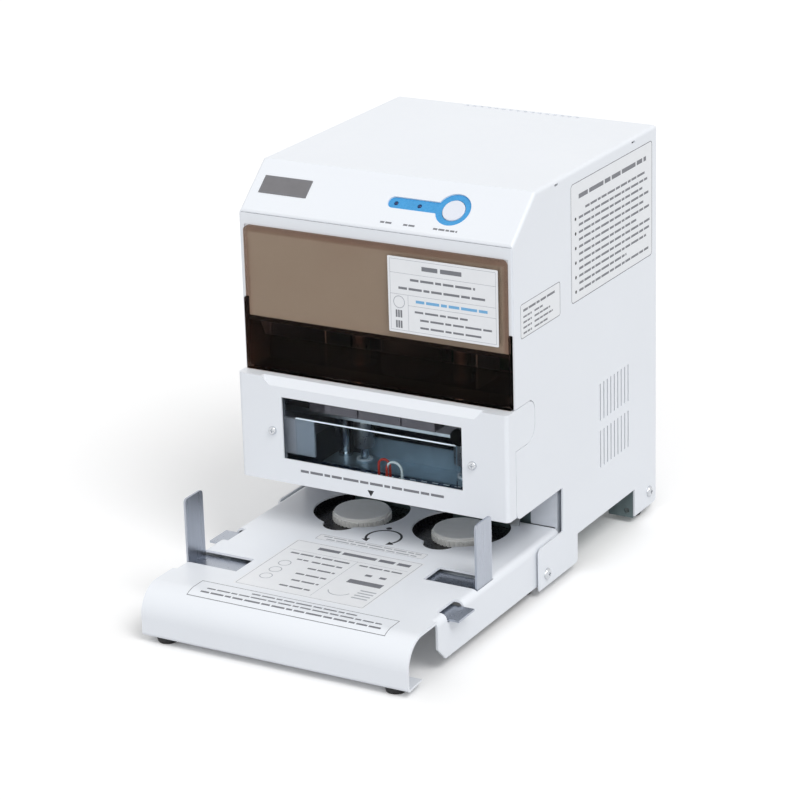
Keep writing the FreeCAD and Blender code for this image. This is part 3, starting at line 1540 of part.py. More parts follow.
def rear_foot_brackets():
    """Zinc channels under the rear corners, open towards the middle."""
    brackets = []
    for side, sign in SIDES.items():
        low, high = ordered(sign * REAR_FOOT_INNER, sign * REAR_FOOT_OUTER)
        block = box(f"rear_block_{side}", (low, d.rear_foot_front, d.lip_bottom),
                    (high, d.rear_foot_rear, d.belly_height))
        wall = d.rear_foot_sheet
        open_side = sign * (REAR_FOOT_INNER - d.overrun)
        inner_low, inner_high = ordered(open_side, sign * (REAR_FOOT_OUTER - wall))
        room = box(f"rear_room_{side}", (inner_low, d.rear_foot_front + wall, d.lip_bottom + wall),
                   (inner_high, d.rear_foot_rear - wall, d.belly_height - wall))
        hole_foot = (sign * (REAR_FOOT_OUTER - d.boss_radius), d.rear_foot_front - d.overrun,
                     d.lip_bottom + d.boss_radius)
        hole = cylinder(f"rear_hole_{side}", hole_foot, d.rear_foot_hole_radius, d.overrun * 2, "y")
        bore_foot = (-INNER_HALF - d.overrun, d.rear_screw_back, d.rear_screw_height)
        bore = cylinder(f"rear_bore_{side}", bore_foot, d.case_screw_radius + d.shaft_gap,
                        (INNER_HALF + d.overrun) * 2, "x")
        brackets.append(cut(f"rear_foot_bracket_{side}", block, [room, hole, bore]))
    finish(group("rear_foot_brackets", brackets), "rear_foot_brackets")


def case_screws():
    screws = []
    length = HALF_WIDTH - REAR_FOOT_OUTER + d.rear_foot_sheet + d.frame_sheet
    for place, (back, height) in enumerate(case_screw_places()):
        for side, sign in SIDES.items():
            low, high = ordered(sign * (HALF_WIDTH - length), sign * HALF_WIDTH)
            shank_foot = (low, back, height)
            shank = cylinder(f"case_shank_{place}_{side}", shank_foot, d.case_screw_radius, high - low, "x")
            tall = d.case_screw_head_height
            outline = [
                (as_length(0), as_length(0)),
                (d.case_screw_head_radius, as_length(0)),
                (d.case_screw_head_radius, tall, tall - d.shaft_gap),
                (as_length(0), tall),
            ]
            head = turned(f"case_head_{place}_{side}", outline, (sign * HALF_WIDTH, back, height), "x")
            if sign < 0:
                head.Placement = Placement(head.Placement.Base, Rotation(Vector(0, 1, 0), -90))
            face = sign * (HALF_WIDTH + tall)
            slots = cross_recess(f"case_screw_{place}_{side}", 0, face, sign, back, height)
            whole = fuse(f"case_screw_whole_{place}_{side}", [shank, head])
            screws.append(cut(f"case_screw_{place}_{side}", whole, slots))
    finish(group("case_screws", screws), "case_screws")


# drilling head


def head_plate():
    plate = box("head_block", (-HEAD_HALF, -d.head_front, d.head_low),
                (HEAD_HALF, d.head_rear, HEAD_TOP))
    low = d.head_low - d.overrun
    height = d.head_plate_thickness + d.overrun * 2
    cuts = []
    bushes = []
    bores = (
        ("bush", COLUMN_RIGHT, COLUMN_BACK, d.bush_radius),
        ("bearing", HOLE_RIGHT, d.drill_back, d.bearing_radius),
        ("rod", d.clamp_rod_right, d.clamp_rod_back, d.clamp_rod_radius + d.shaft_gap),
    )
    for side, sign in SIDES.items():
        for purpose, right, back, radius in bores:
            cuts.append(cylinder(f"{purpose}_hole_{side}", (sign * right, back, low), radius, height))
        foot = (sign * COLUMN_RIGHT, COLUMN_BACK, d.bush_low)
        inner = d.column_radius + d.shaft_gap
        bushes.append(ring(f"column_bush_{side}", foot, d.bush_radius, inner, d.bush_length))
    finish(cut("head_plate", plate, cuts), "head_plate")
    finish(group("column_bushes", bushes), "column_bushes")


def head_housing():
    """The gear case: spring chamber below, gears above, and the sensor nose in front."""
    block = box("housing_block", (-HOUSING_HALF, HOUSING_FRONT, HEAD_TOP),
                (HOUSING_HALF, HOUSING_REAR, HOUSING_TOP))
    wall = d.housing_wall
    lower = box("spring_room", (wall - HOUSING_HALF, HOUSING_FRONT + wall, HEAD_TOP - d.overrun),
                (HOUSING_HALF - wall, HOUSING_REAR - wall, WEB_LOW))
    upper = box("gear_room", (wall - HOUSING_HALF, HOUSING_FRONT + wall, WEB_HIGH),
                (HOUSING_HALF - wall, HOUSING_REAR - wall, HOUSING_CEILING))
    nose = box("nose_block", (-d.nose_half_width, -d.nose_front, NOSE_LOW),
               (d.nose_half_width, HOUSING_FRONT, NOSE_HIGH))
    grooves = []
    for side, sign in SIDES.items():
        left = sign * d.nose_groove_right - d.nose_groove_width / 2
        low = (left, -d.nose_front - d.overrun, NOSE_LOW - d.overrun)
        high = (left + d.nose_groove_width, d.nose_groove_width - d.nose_front, NOSE_HIGH + d.overrun)
        grooves.append(box(f"nose_groove_{side}", low, high))
    room = d.nose_pocket_half_width
    pocket = box("nose_pocket", (-room, d.nose_pocket_wall - d.nose_front, NOSE_LOW - d.overrun),
                 (room, HOUSING_FRONT - d.nose_pocket_wall, NOSE_LOW + d.nose_pocket_depth))
    shell = fuse("housing_shell", [block, cut("nose_cut", nose, grooves + [pocket])])
    cuts = [lower, upper]
    top_height = HOUSING_TOP - HOUSING_CEILING + d.overrun
    for side, sign in SIDES.items():
        web = (sign * HOLE_RIGHT, d.drill_back, WEB_LOW - d.running_gap)
        cuts.append(cylinder(f"web_hole_{side}", web, d.spindle_radius + d.housing_wall, wall * 2))
        top = (sign * HOLE_RIGHT, d.drill_back, HOUSING_CEILING - d.running_gap)
        cuts.append(cylinder(f"top_hole_{side}", top, d.bearing_radius, top_height))
    shaft = (as_length(0), d.drill_back, HOUSING_CEILING - d.running_gap)
    cuts.append(cylinder("motor_shaft_hole", shaft, d.motor_shaft_radius + d.running_gap, top_height))
    finish(cut("head_housing", shell, cuts), "head_housing")


def spindle_bearings():
    rings = []
    for side, sign in SIDES.items():
        for place, low in (("low", d.head_low), ("high", HOUSING_CEILING)):
            foot = (sign * HOLE_RIGHT, d.drill_back, low)
            inner = d.spindle_radius + d.shaft_gap
            rings.append(ring(f"bearing_{place}_{side}", foot, d.bearing_radius, inner, d.bearing_height))
    finish(group("spindle_bearings", rings), "spindle_bearings")


def spindle(side, sign):
    """A hollow spindle with its gear, and the hollow drill held in its nose."""
    place = (sign * HOLE_RIGHT, d.drill_back, as_length(0))
    outline = [
        (d.drill_radius + d.shaft_gap, d.spindle_nose_low),
        (d.spindle_nose_radius, d.spindle_nose_low, d.button_edge_radius),
        (d.spindle_nose_radius, d.spindle_nose_high, d.button_edge_radius),
        (d.spindle_radius, d.spindle_nose_high),
        (d.spindle_radius, CHUTE_HIGH),
        (d.spindle_bore, CHUTE_HIGH),
        (d.spindle_bore, d.drill_shank_top),
        (d.drill_radius + d.shaft_gap, d.drill_shank_top),
    ]
    finish(turned(f"spindle_{side}", outline, place), f"spindle_{side}")
    drill_outline = [
        (d.drill_bore, d.drill_tip),
        (d.drill_radius, d.drill_tip + d.drill_bevel),
        (d.drill_radius, d.drill_shank_top - d.shaft_gap),
        (d.drill_bore, d.drill_shank_top - d.shaft_gap),
    ]
    finish(turned(f"hollow_drill_{side}", drill_outline, place), f"hollow_drill_{side}")
    teeth = int(d.spindle_teeth.value)
    bore = d.spindle_radius.value + d.shaft_gap.value
    gear = gear_solid(d.gear_module.value, teeth, d.gear_thickness.value, bore)
    base = Vector(sign * HOLE_RIGHT.value, d.drill_back.value, GEAR_LOW.value)
    turn = Rotation(Vector(0, 0, 1), HALF_TURN / teeth)
    finish(solid_feature(f"spindle_gear_{side}", gear, Placement(base, turn)), f"spindle_gear_{side}")


def drill_motor():
    """The motor between the spindles, its turning shaft and the pinion that drives both gears."""
    outline = [
        (d.motor_shaft_radius + d.shaft_gap, HOUSING_TOP),
        (d.motor_radius, HOUSING_TOP, d.motor_edge_radius),
        (d.motor_radius, MOTOR_TOP, d.motor_edge_radius),
        (as_length(0), MOTOR_TOP),
        (as_length(0), MOTOR_SHAFT_TOP + d.running_gap),
        (d.motor_shaft_radius + d.shaft_gap, MOTOR_SHAFT_TOP + d.running_gap),
    ]
    place = (as_length(0), d.drill_back, as_length(0))
    finish(turned("drill_motor", outline, place), "drill_motor")
    foot = (as_length(0), d.drill_back, GEAR_LOW)
    shaft = cylinder("motor_shaft", foot, d.motor_shaft_radius, MOTOR_SHAFT_TOP - GEAR_LOW)
    teeth = int(d.motor_teeth.value)
    gear = gear_solid(d.gear_module.value, teeth, d.gear_thickness.value, d.motor_shaft_radius.value)
    base = Vector(0, d.drill_back.value, GEAR_LOW.value)
    toothed = solid_feature("motor_gear", gear, Placement(base, Rotation()))
    finish(fuse("motor_pinion", [toothed, shaft]), "motor_pinion")


def chip_chute():
    """The sloping trough over the spindle tops that lets the paper chips slide into the box."""
    sheet_t = d.chute_sheet
    front = -d.chute_front
    floor_profile = [
        (front, CHUTE_LOW),
        (d.chute_rear, CHUTE_HIGH),
        (d.chute_rear, CHUTE_HIGH + d.chute_side_height),
        (d.chute_rear - sheet_t, CHUTE_HIGH + d.chute_side_height),
        (d.chute_rear - sheet_t, CHUTE_HIGH + sheet_t),
        (front, CHUTE_LOW + sheet_t),
    ]
    floor = prism("chute_floor", "YZ", floor_profile, -d.chute_half_width, d.chute_half_width)
    cheek_profile = [
        (front, CHUTE_LOW),
        (-d.chute_leg_front, CHUTE_LOW),
        (-d.chute_leg_front, HOUSING_TOP),
        (d.chute_rear, HOUSING_TOP),
        (d.chute_rear, CHUTE_HIGH + d.chute_side_height),
        (front, CHUTE_LOW + d.chute_side_height),
    ]
    cheeks = [
        prism("chute_cheek_left", "YZ", cheek_profile, -d.chute_half_width, sheet_t - d.chute_half_width),
        prism("chute_cheek_right", "YZ", cheek_profile, d.chute_half_width - sheet_t, d.chute_half_width),
    ]
    holes = []
    for side, sign in SIDES.items():
        foot = (sign * HOLE_RIGHT, d.drill_back, CHUTE_LOW)
        radius = d.spindle_radius + d.running_gap * 2
        holes.append(cylinder(f"chute_hole_{side}", foot, radius, d.overrun * 4))
    finish(cut("chip_chute", fuse("chute_whole", [floor] + cheeks), holes), "chip_chute")


def paper_clamp():
    """The bar that presses the stack, on two rods that slide in the head plate."""
    top = d.clamp_low + d.clamp_sheet
    half = d.clamp_half_width
    bar_outline = rectangle(-half, half, -d.clamp_front, d.clamp_rear, d.foot_edge_radius)
    bar = prism("clamp_bar", "XY", bar_outline, d.clamp_low, top)
    flange_half = d.clamp_flange_half_width
    flange = box("clamp_flange", (-flange_half, d.clamp_rear - d.clamp_flange_sheet, top),
                 (flange_half, d.clamp_rear, top + d.clamp_flange_height))
    parts = [bar, flange]
    holes = []
    for side, sign in SIDES.items():
        collar_foot = (sign * HOLE_RIGHT, d.drill_back, top)
        collar = cylinder(f"clamp_collar_{side}", collar_foot, d.clamp_bush_radius, d.clamp_bush_height)
        parts.append(collar)
        foot = (sign * HOLE_RIGHT, d.drill_back, d.clamp_low - d.overrun)
        holes.append(cylinder(f"clamp_hole_{side}", foot, d.clamp_hole_radius, d.overrun * 3))
    finish(cut("clamp_plate", fuse("clamp_blank", parts), holes), "clamp_plate")
    rods = []
    springs = []
    rod_head_low = HEAD_TOP + d.running_gap
    for side, sign in SIDES.items():
        place = (sign * d.clamp_rod_right, d.clamp_rod_back, as_length(0))
        outline = [
            (as_length(0), top),
            (d.clamp_rod_foot_radius, top),
            (d.clamp_rod_foot_radius, top + d.clamp_rod_foot_height),
            (d.clamp_rod_radius, top + d.clamp_rod_foot_height),
            (d.clamp_rod_radius, rod_head_low),
            (d.clamp_rod_head_radius, rod_head_low),
            (d.clamp_rod_head_radius, rod_head_low + d.clamp_rod_head_height),
            (as_length(0), rod_head_low + d.clamp_rod_head_height),
        ]
        rods.append(turned(f"clamp_rod_{side}", outline, place))
        spring_low = rod_head_low + d.clamp_rod_head_height
        springs.append(ring(f"clamp_spring_{side}", (place[0], place[1], spring_low),
                            d.clamp_rod_head_radius, d.clamp_rod_head_radius - d.spring_wire,
                            WEB_LOW - spring_low))
    finish(group("clamp_rods", rods), "clamp_rods")
    finish(group("clamp_springs", springs), "clamp_springs")


# feed drive


def feed_rack():
    half = d.rack_half_width
    root = RACK_PITCH_BACK.value - DEDENDUM_SHARE * d.feed_module.value - d.shaft_gap.value
    bar = box("rack_bar", (-half, RACK_PITCH_BACK - d.rack_thickness, HEAD_TOP),
              (half, RACK_PITCH_BACK - DEDENDUM_SHARE * d.feed_module, d.rack_top))
    pitch = math.pi * d.feed_module.value
    count = int(d.rack_tooth_count.value)
    teeth = rack_solid(d.feed_module.value, count, half.value * 2, RACK_PITCH_BACK.value - root)
    # a gap lies at the height of the pinion's centre
    gaps_above = int((d.rack_top.value - d.feed_pinion_height.value) // pitch)
    top = d.feed_pinion_height.value + gaps_above * pitch
    turn = Rotation(Vector(0, 0, -1), Vector(0, 1, 0), Vector(1, 0, 0), "XYZ")
    place = Placement(Vector(-half.value, RACK_PITCH_BACK.value, top), turn)
    rack = solid_feature("rack_teeth", teeth, place)
    finish(fuse("feed_rack", [bar, rack]), "feed_rack")


def feed_drive():
    """The fixed bracket, gearbox and motor, and the turning pinion with its shaft."""
    height = d.feed_pinion_height
    left = d.feed_bracket_left
    right = left + d.feed_bracket_sheet
    plate = box("bracket_plate", (left, d.feed_bracket_front, DECK_TOP),
                (right, d.feed_bracket_rear, d.feed_bracket_top))
    foot = box("bracket_foot", (left, d.feed_bracket_front, DECK_TOP),
               (left + d.feed_bracket_foot, d.feed_bracket_rear, DECK_TOP + d.feed_bracket_sheet))
    hole_foot = (left - d.overrun, FEED_BACK, height)
    hole = cylinder("bracket_hole", hole_foot, d.feed_shaft_radius + d.running_gap, d.overrun * 3, "x")
    finish(cut("feed_bracket", fuse("bracket_whole", [plate, foot]), [hole]), "feed_bracket")
    gearbox = box("gearbox_block", (right, d.feed_bracket_front, d.gearbox_low),
                  (d.gearbox_right, d.gearbox_rear, d.gearbox_high))
    bore_foot = (right - d.overrun, FEED_BACK, height)
    bore_length = (d.gearbox_right - right) / 2 + d.overrun
    shaft_bore = cylinder("gearbox_bore", bore_foot, d.feed_shaft_radius + d.shaft_gap, bore_length, "x")
    motor_outline = [
        (as_length(0), as_length(0)),
        (d.feed_motor_radius, as_length(0), d.motor_edge_radius),
        (d.feed_motor_radius, FEED_MOTOR_RIGHT - d.gearbox_right, d.motor_edge_radius),
        (as_length(0), FEED_MOTOR_RIGHT - d.gearbox_right),
    ]
    motor = turned("feed_motor", motor_outline, (d.gearbox_right, d.feed_motor_back, height), "x")
    finish(fuse("feed_gear_motor", [cut("feed_gearbox", gearbox, [shaft_bore]), motor]), "feed_gear_motor")
    half = d.rack_half_width
    shaft_end = (d.gearbox_right - right) / 2 + right - d.running_gap
    shaft = cylinder("feed_shaft", (-half, FEED_BACK, height), d.feed_shaft_radius, shaft_end + half, "x")
    teeth = int(d.feed_teeth.value)
    gear = gear_solid(d.feed_module.value, teeth, half.value * 2, d.feed_shaft_radius.value)
    turn = Rotation(Vector(0, 1, 0), Vector(0, 0, 1), Vector(1, 0, 0), "XYZ")
    place = Placement(Vector(-half.value, FEED_BACK.value, height.value), turn)
    toothed = solid_feature("feed_gear", gear, place)
    finish(fuse("feed_pinion", [toothed, shaft]), "feed_pinion")


# rear panel, power and control


def back_panel():
    rear = PANEL_REAR
    front = d.bottom_rear
    plate = box("panel_plate", (-INNER_HALF, front, d.panel_low),
                (INNER_HALF, rear, d.body_height - d.cover_sheet))
    cuts = []
    deep = front - d.overrun
    far = rear + d.overrun
    first = -d.back_vent_pitch * (d.back_vent_count.value - 1) / 2
    for column in range(int(d.back_vent_count.value)):
        left = first + d.back_vent_pitch * column - d.back_vent_width / 2
        cuts.append(box(f"back_vent_{column}", (left, deep, d.back_vent_low),
                        (left + d.back_vent_width, far, d.back_vent_low + d.back_vent_height)))
    seam = d.shaft_gap
    half_w = d.inlet_half_width + seam
    half_h = d.inlet_half_height + seam
    cuts.append(box("inlet_hole", (-INLET_LEFT - half_w, deep, d.inlet_height - half_h),
                    (half_w - INLET_LEFT, far, d.inlet_height + half_h)))
    fuse_foot = (-FUSE_LEFT, deep, d.inlet_height)
    cuts.append(cylinder("fuse_hole", fuse_foot, d.fuse_radius + seam, d.overrun * 3, "y"))
    frame_w = d.rocker_half_width + d.rocker_frame
    frame_h = d.rocker_half_height + d.rocker_frame
    cuts.append(box("switch_hole", (-ROCKER_LEFT - frame_w - seam, deep, d.inlet_height - frame_h - seam),
                    (frame_w + seam - ROCKER_LEFT, far, d.inlet_height + frame_h + seam)))
    finish(cut("back_panel", plate, cuts), "back_panel")


def power_inlet():
    """The appliance inlet: a flanged socket with three flat pins."""
    rear = PANEL_REAR + d.inlet_flange
    margin = d.inlet_flange_margin
    centre = -INLET_LEFT
    left = centre - d.inlet_half_width
    right = centre + d.inlet_half_width
    low = d.inlet_height - d.inlet_half_height
    high = d.inlet_height + d.inlet_half_height
    flange = box("inlet_flange", (left - margin, PANEL_REAR, low - margin),
                 (right + margin, rear, high + margin))
    body = box("inlet_body", (left, rear - d.inlet_depth, low), (right, rear, high))
    wall = d.inlet_wall
    floor = rear - d.inlet_socket_depth
    socket = box("inlet_socket", (left + wall, floor, low + wall),
                 (right - wall, rear + d.overrun, high - wall))
    pins = []
    for place, (across, up) in enumerate(((-1, 0), (0, 0.5), (1, 0))):
        x = centre + across * d.inlet_pin_spread
        z = d.inlet_height + up * d.inlet_pin_height
        half_h = d.inlet_pin_height / 2
        pins.append(box(f"inlet_pin_{place}", (x - d.inlet_pin_width, floor, z - half_h),
                        (x + d.inlet_pin_width, rear - wall, z + half_h)))
    shell = cut("inlet_shell", fuse("inlet_whole", [flange, body]), [socket])
    finish(fuse("power_inlet", [shell] + pins), "power_inlet")


def fuse_holder():
    outline = [
        (as_length(0), -d.fuse_depth),
        (d.fuse_radius, -d.fuse_depth),
        (d.fuse_radius, as_length(0)),
        (d.fuse_cap_radius, as_length(0)),
        (d.fuse_cap_radius, d.fuse_cap_height, d.button_edge_radius),
        (as_length(0), d.fuse_cap_height),
    ]
    finish(turned("fuse_holder", outline, (-FUSE_LEFT, PANEL_REAR, d.inlet_height), "y"), "fuse_holder")


def power_switch():
    """A framed rocker that tips about a pin across the frame."""
    rear = PANEL_REAR
    w = d.rocker_half_width + d.rocker_frame
    tall = d.rocker_half_height + d.rocker_frame
    centre = -ROCKER_LEFT
    face = rear + d.rocker_frame_proud
    block = box("switch_frame_block", (centre - w, rear - d.rocker_depth, d.inlet_height - tall),
                (centre + w, rear, d.inlet_height + tall))
    lip_w = w + d.rocker_frame_proud
    lip_h = tall + d.rocker_frame_proud
    lip = box("switch_frame_lip", (centre - lip_w, rear, d.inlet_height - lip_h),
              (centre + lip_w, face, d.inlet_height + lip_h))
    room_w = d.rocker_half_width + d.running_gap
    room_h = d.rocker_half_height + d.running_gap * 2
    floor = rear - d.rocker_depth + d.rocker_frame
    room = box("switch_room", (centre - room_w, floor, d.inlet_height - room_h),
               (centre + room_w, face + d.overrun, d.inlet_height + room_h))
    pin_y = rear - d.rocker_pivot_inset
    pin = cylinder("switch_pin", (centre - w, pin_y, d.inlet_height), d.rocker_pivot_radius, w * 2, "x")
    hollow = cut("switch_frame_cut", fuse("switch_frame_whole", [block, lip]), [room])
    finish(fuse("switch_frame", [hollow, pin]), "switch_frame")
    tip = face + d.rocker_proud
    outline = [
        (pin_y - d.rocker_pivot_inset, d.inlet_height - d.rocker_pivot_inset),
        (tip - d.rocker_frame, d.inlet_height - d.rocker_half_height, d.button_edge_radius),
        (tip, d.inlet_height - d.rocker_half_height, d.button_edge_radius),
        (face - d.rocker_proud, d.inlet_height),
        (tip, d.inlet_height + d.rocker_half_height, d.button_edge_radius),
        (tip - d.rocker_frame, d.inlet_height + d.rocker_half_height, d.button_edge_radius),
        (pin_y - d.rocker_pivot_inset, d.inlet_height + d.rocker_pivot_inset),
    ]
    half = d.rocker_half_width
    rocker = prism("rocker_block", "YZ", outline, centre - half, centre + half)
    bore_radius = d.rocker_pivot_radius + d.shaft_gap
    bore = cylinder("rocker_bore", (centre - w, pin_y, d.inlet_height), bore_radius, w * 2, "x")
    tilted = cut("power_rocker", rocker, [bore])
    pivot = Vector(centre.value, pin_y.value, d.inlet_height.value)
    turn = Rotation(Vector(1, 0, 0), -ROCKER_TILT)
    tilted.Placement = Placement(pivot - turn.multVec(pivot), turn)
    finish(tilted, "power_rocker")


def control_board():
    """The circuit board on four stand-offs from the rear panel, with its relays."""
    front = d.board_front
    half = d.board_half_width
    plate = box("board_plate", (-half, front, d.board_low), (half, front + d.board_thickness, d.board_high))
    parts = [plate]
    inset = d.stand_off_inset
    depth = d.bottom_rear - front
    for side, sign in SIDES.items():
        for place, height in (("low", d.board_low + inset), ("high", d.board_high - inset)):
            foot = (sign * (half - inset), front, height)
            parts.append(cylinder(f"stand_off_{place}_{side}", foot, d.stand_off_radius, depth, "y"))
    low = d.board_low + inset * 2
    for place in (-1, 0, 1):
        left = place * d.relay_pitch - d.relay_width / 2
        parts.append(box(f"relay_{place + 1}", (left, front - d.relay_depth, low),
                         (left + d.relay_width, front, low + d.relay_height)))
    finish(fuse("control_board", parts), "control_board")


def transformer():
    floor = d.belly_height + d.bottom_sheet
    left = -d.transformer_left
    right = -d.transformer_right
    top = floor + d.transformer_height
    inset = d.coil_inset
    over = d.coil_overhang
    core = box("transformer_core", (left, d.transformer_front, floor), (right, d.transformer_rear, top))
    coil = box("transformer_coil", (left + inset, d.transformer_front - over, floor + inset),
               (right - inset, d.transformer_rear + over, top - inset))
    finish(fuse("power_transformer", [core, coil]), "power_transformer")


def sensor_leads():
    """Two wires that rise from the deck behind the window and turn back down to it."""
    leads = []
    wires = (
        ("red", d.red_lead_right, d.red_loop_radius),
        ("white", d.white_lead_right, d.white_loop_radius),
    )
    for name, right, radius in wires:
        back = -d.lead_front - right / 2
        arc_height = DECK_TOP + d.lead_leg_height
        loop = doc.addObject("Part::Torus", f"lead_{name}_loop")
        loop.Placement = Placement(Vector(), Rotation(Vector(1, 0, 0), 90))
        bind(loop, "Radius1", radius)
        bind(loop, "Radius2", d.lead_radius)
        loop.Angle3 = HALF_TURN
        move(loop, (right, back, arc_height))
        parts = [loop]
        for side, sign in SIDES.items():
            foot = (right + sign * radius, back, DECK_TOP)
            parts.append(cylinder(f"lead_{name}_leg_{side}", foot, d.lead_radius, d.lead_leg_height))
        leads.append(fuse(f"lead_{name}", parts))
    finish(group("sensor_leads", leads), "sensor_leads")


def build():
    body_cover()
    front_cover()
    window_pane()
    inner_shield()
    shield_bumper()
    cover_screws()
    escutcheon_and_button()
    chip_box()
    face_frame()
    box_shelf()
    table_plate()
    guide_drive()
    base_casting()
    deck()
    back_gauge()
    columns_and_bridge()
    bottom_plate()
    feet()
    rear_foot_brackets()
    case_screws()
    head_plate()
    head_housing()
    spindle_bearings()
    drill_motor()
    chip_chute()
    paper_clamp()
    feed_rack()
    feed_drive()
    back_panel()
    power_inlet()
    fuse_holder()
    power_switch()
    control_board()
    transformer()
    sensor_leads()
    for side, sign in SIDES.items():
        side_guide(side, sign)
        anvil_disc(side, sign)
        side_frame(side, sign)
        spindle(side, sign)


def check_and_write():
    """Stops at a failed object, then writes each finished piece to its own file."""
    doc.recompute()
    for item in doc.Objects:
        if "Invalid" in item.State or "Error" in item.State:
            raise RuntimeError(f"{item.Name} failed: {item.State}")
    for item in finished:
        if item.Shape.isNull() or not item.Shape.isValid() or not item.Shape.Solids:
            raise RuntimeError(f"{item.Label} has no valid solid")
    os.makedirs("parts", exist_ok=True)
    for item in finished:
        item.Shape.exportStep(f"parts/{item.Label}.step")
        volume = item.Shape.Volume
        print(f"{item.Label}: {len(item.Shape.Solids)} solid, {volume:.0f} cubic mm")


build()
check_and_write()
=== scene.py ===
"""Looks of a desk paper drill: materials, stickers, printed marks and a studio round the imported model."""
import json
import math

import bmesh
import bpy
from mathutils import Matrix, Vector
from mathutils.bvhtree import BVHTree


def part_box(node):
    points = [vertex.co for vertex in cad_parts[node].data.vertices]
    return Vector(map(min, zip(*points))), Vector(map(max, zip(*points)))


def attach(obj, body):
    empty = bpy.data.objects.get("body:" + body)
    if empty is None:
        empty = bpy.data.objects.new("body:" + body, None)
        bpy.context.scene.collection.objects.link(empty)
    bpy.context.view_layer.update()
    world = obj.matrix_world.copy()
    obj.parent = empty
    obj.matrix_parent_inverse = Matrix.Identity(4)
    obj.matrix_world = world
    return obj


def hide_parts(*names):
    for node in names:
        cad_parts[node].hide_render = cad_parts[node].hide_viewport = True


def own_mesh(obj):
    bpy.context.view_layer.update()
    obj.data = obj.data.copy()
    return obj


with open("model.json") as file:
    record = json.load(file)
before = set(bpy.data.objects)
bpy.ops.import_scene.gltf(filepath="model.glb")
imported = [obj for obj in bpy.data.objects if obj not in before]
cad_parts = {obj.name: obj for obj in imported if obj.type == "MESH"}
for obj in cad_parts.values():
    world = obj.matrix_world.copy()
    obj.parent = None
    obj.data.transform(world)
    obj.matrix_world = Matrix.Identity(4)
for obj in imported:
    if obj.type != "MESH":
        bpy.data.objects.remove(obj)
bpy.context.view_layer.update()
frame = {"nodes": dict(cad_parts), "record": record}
nodes_by_name = frame["nodes"]
MM = 0.001

# millimetres: the chip box's darker edge and the top of its tray, below which the smoke is darker as painted
# shade, each with how softly it begins
SMOKE_BORDER, SMOKE_EDGE_BLUR = 4.6, 0.3
SMOKE_TRAY, SMOKE_TRAY_BLUR = 187.0, 0.6
SMOKE_EDGE_SHARE = 0.70
SMOKE_COLOR, SMOKE_IOR = (0.58, 0.485, 0.395), 1.12
# millimetres: where red leads give way to white ones, and how softly they do
LEAD_SPLIT, LEAD_BLUR = 1.0, 0.1


# material helpers


def rgb(red, green, blue):
    """A colour given as screen values from 0 to 255, in the linear values that shaders take."""
    def linear(value):
        share = value / 255
        return share / 12.92 if share <= 0.04045 else ((share + 0.055) / 1.055) ** 2.4
    return (linear(red), linear(green), linear(blue))


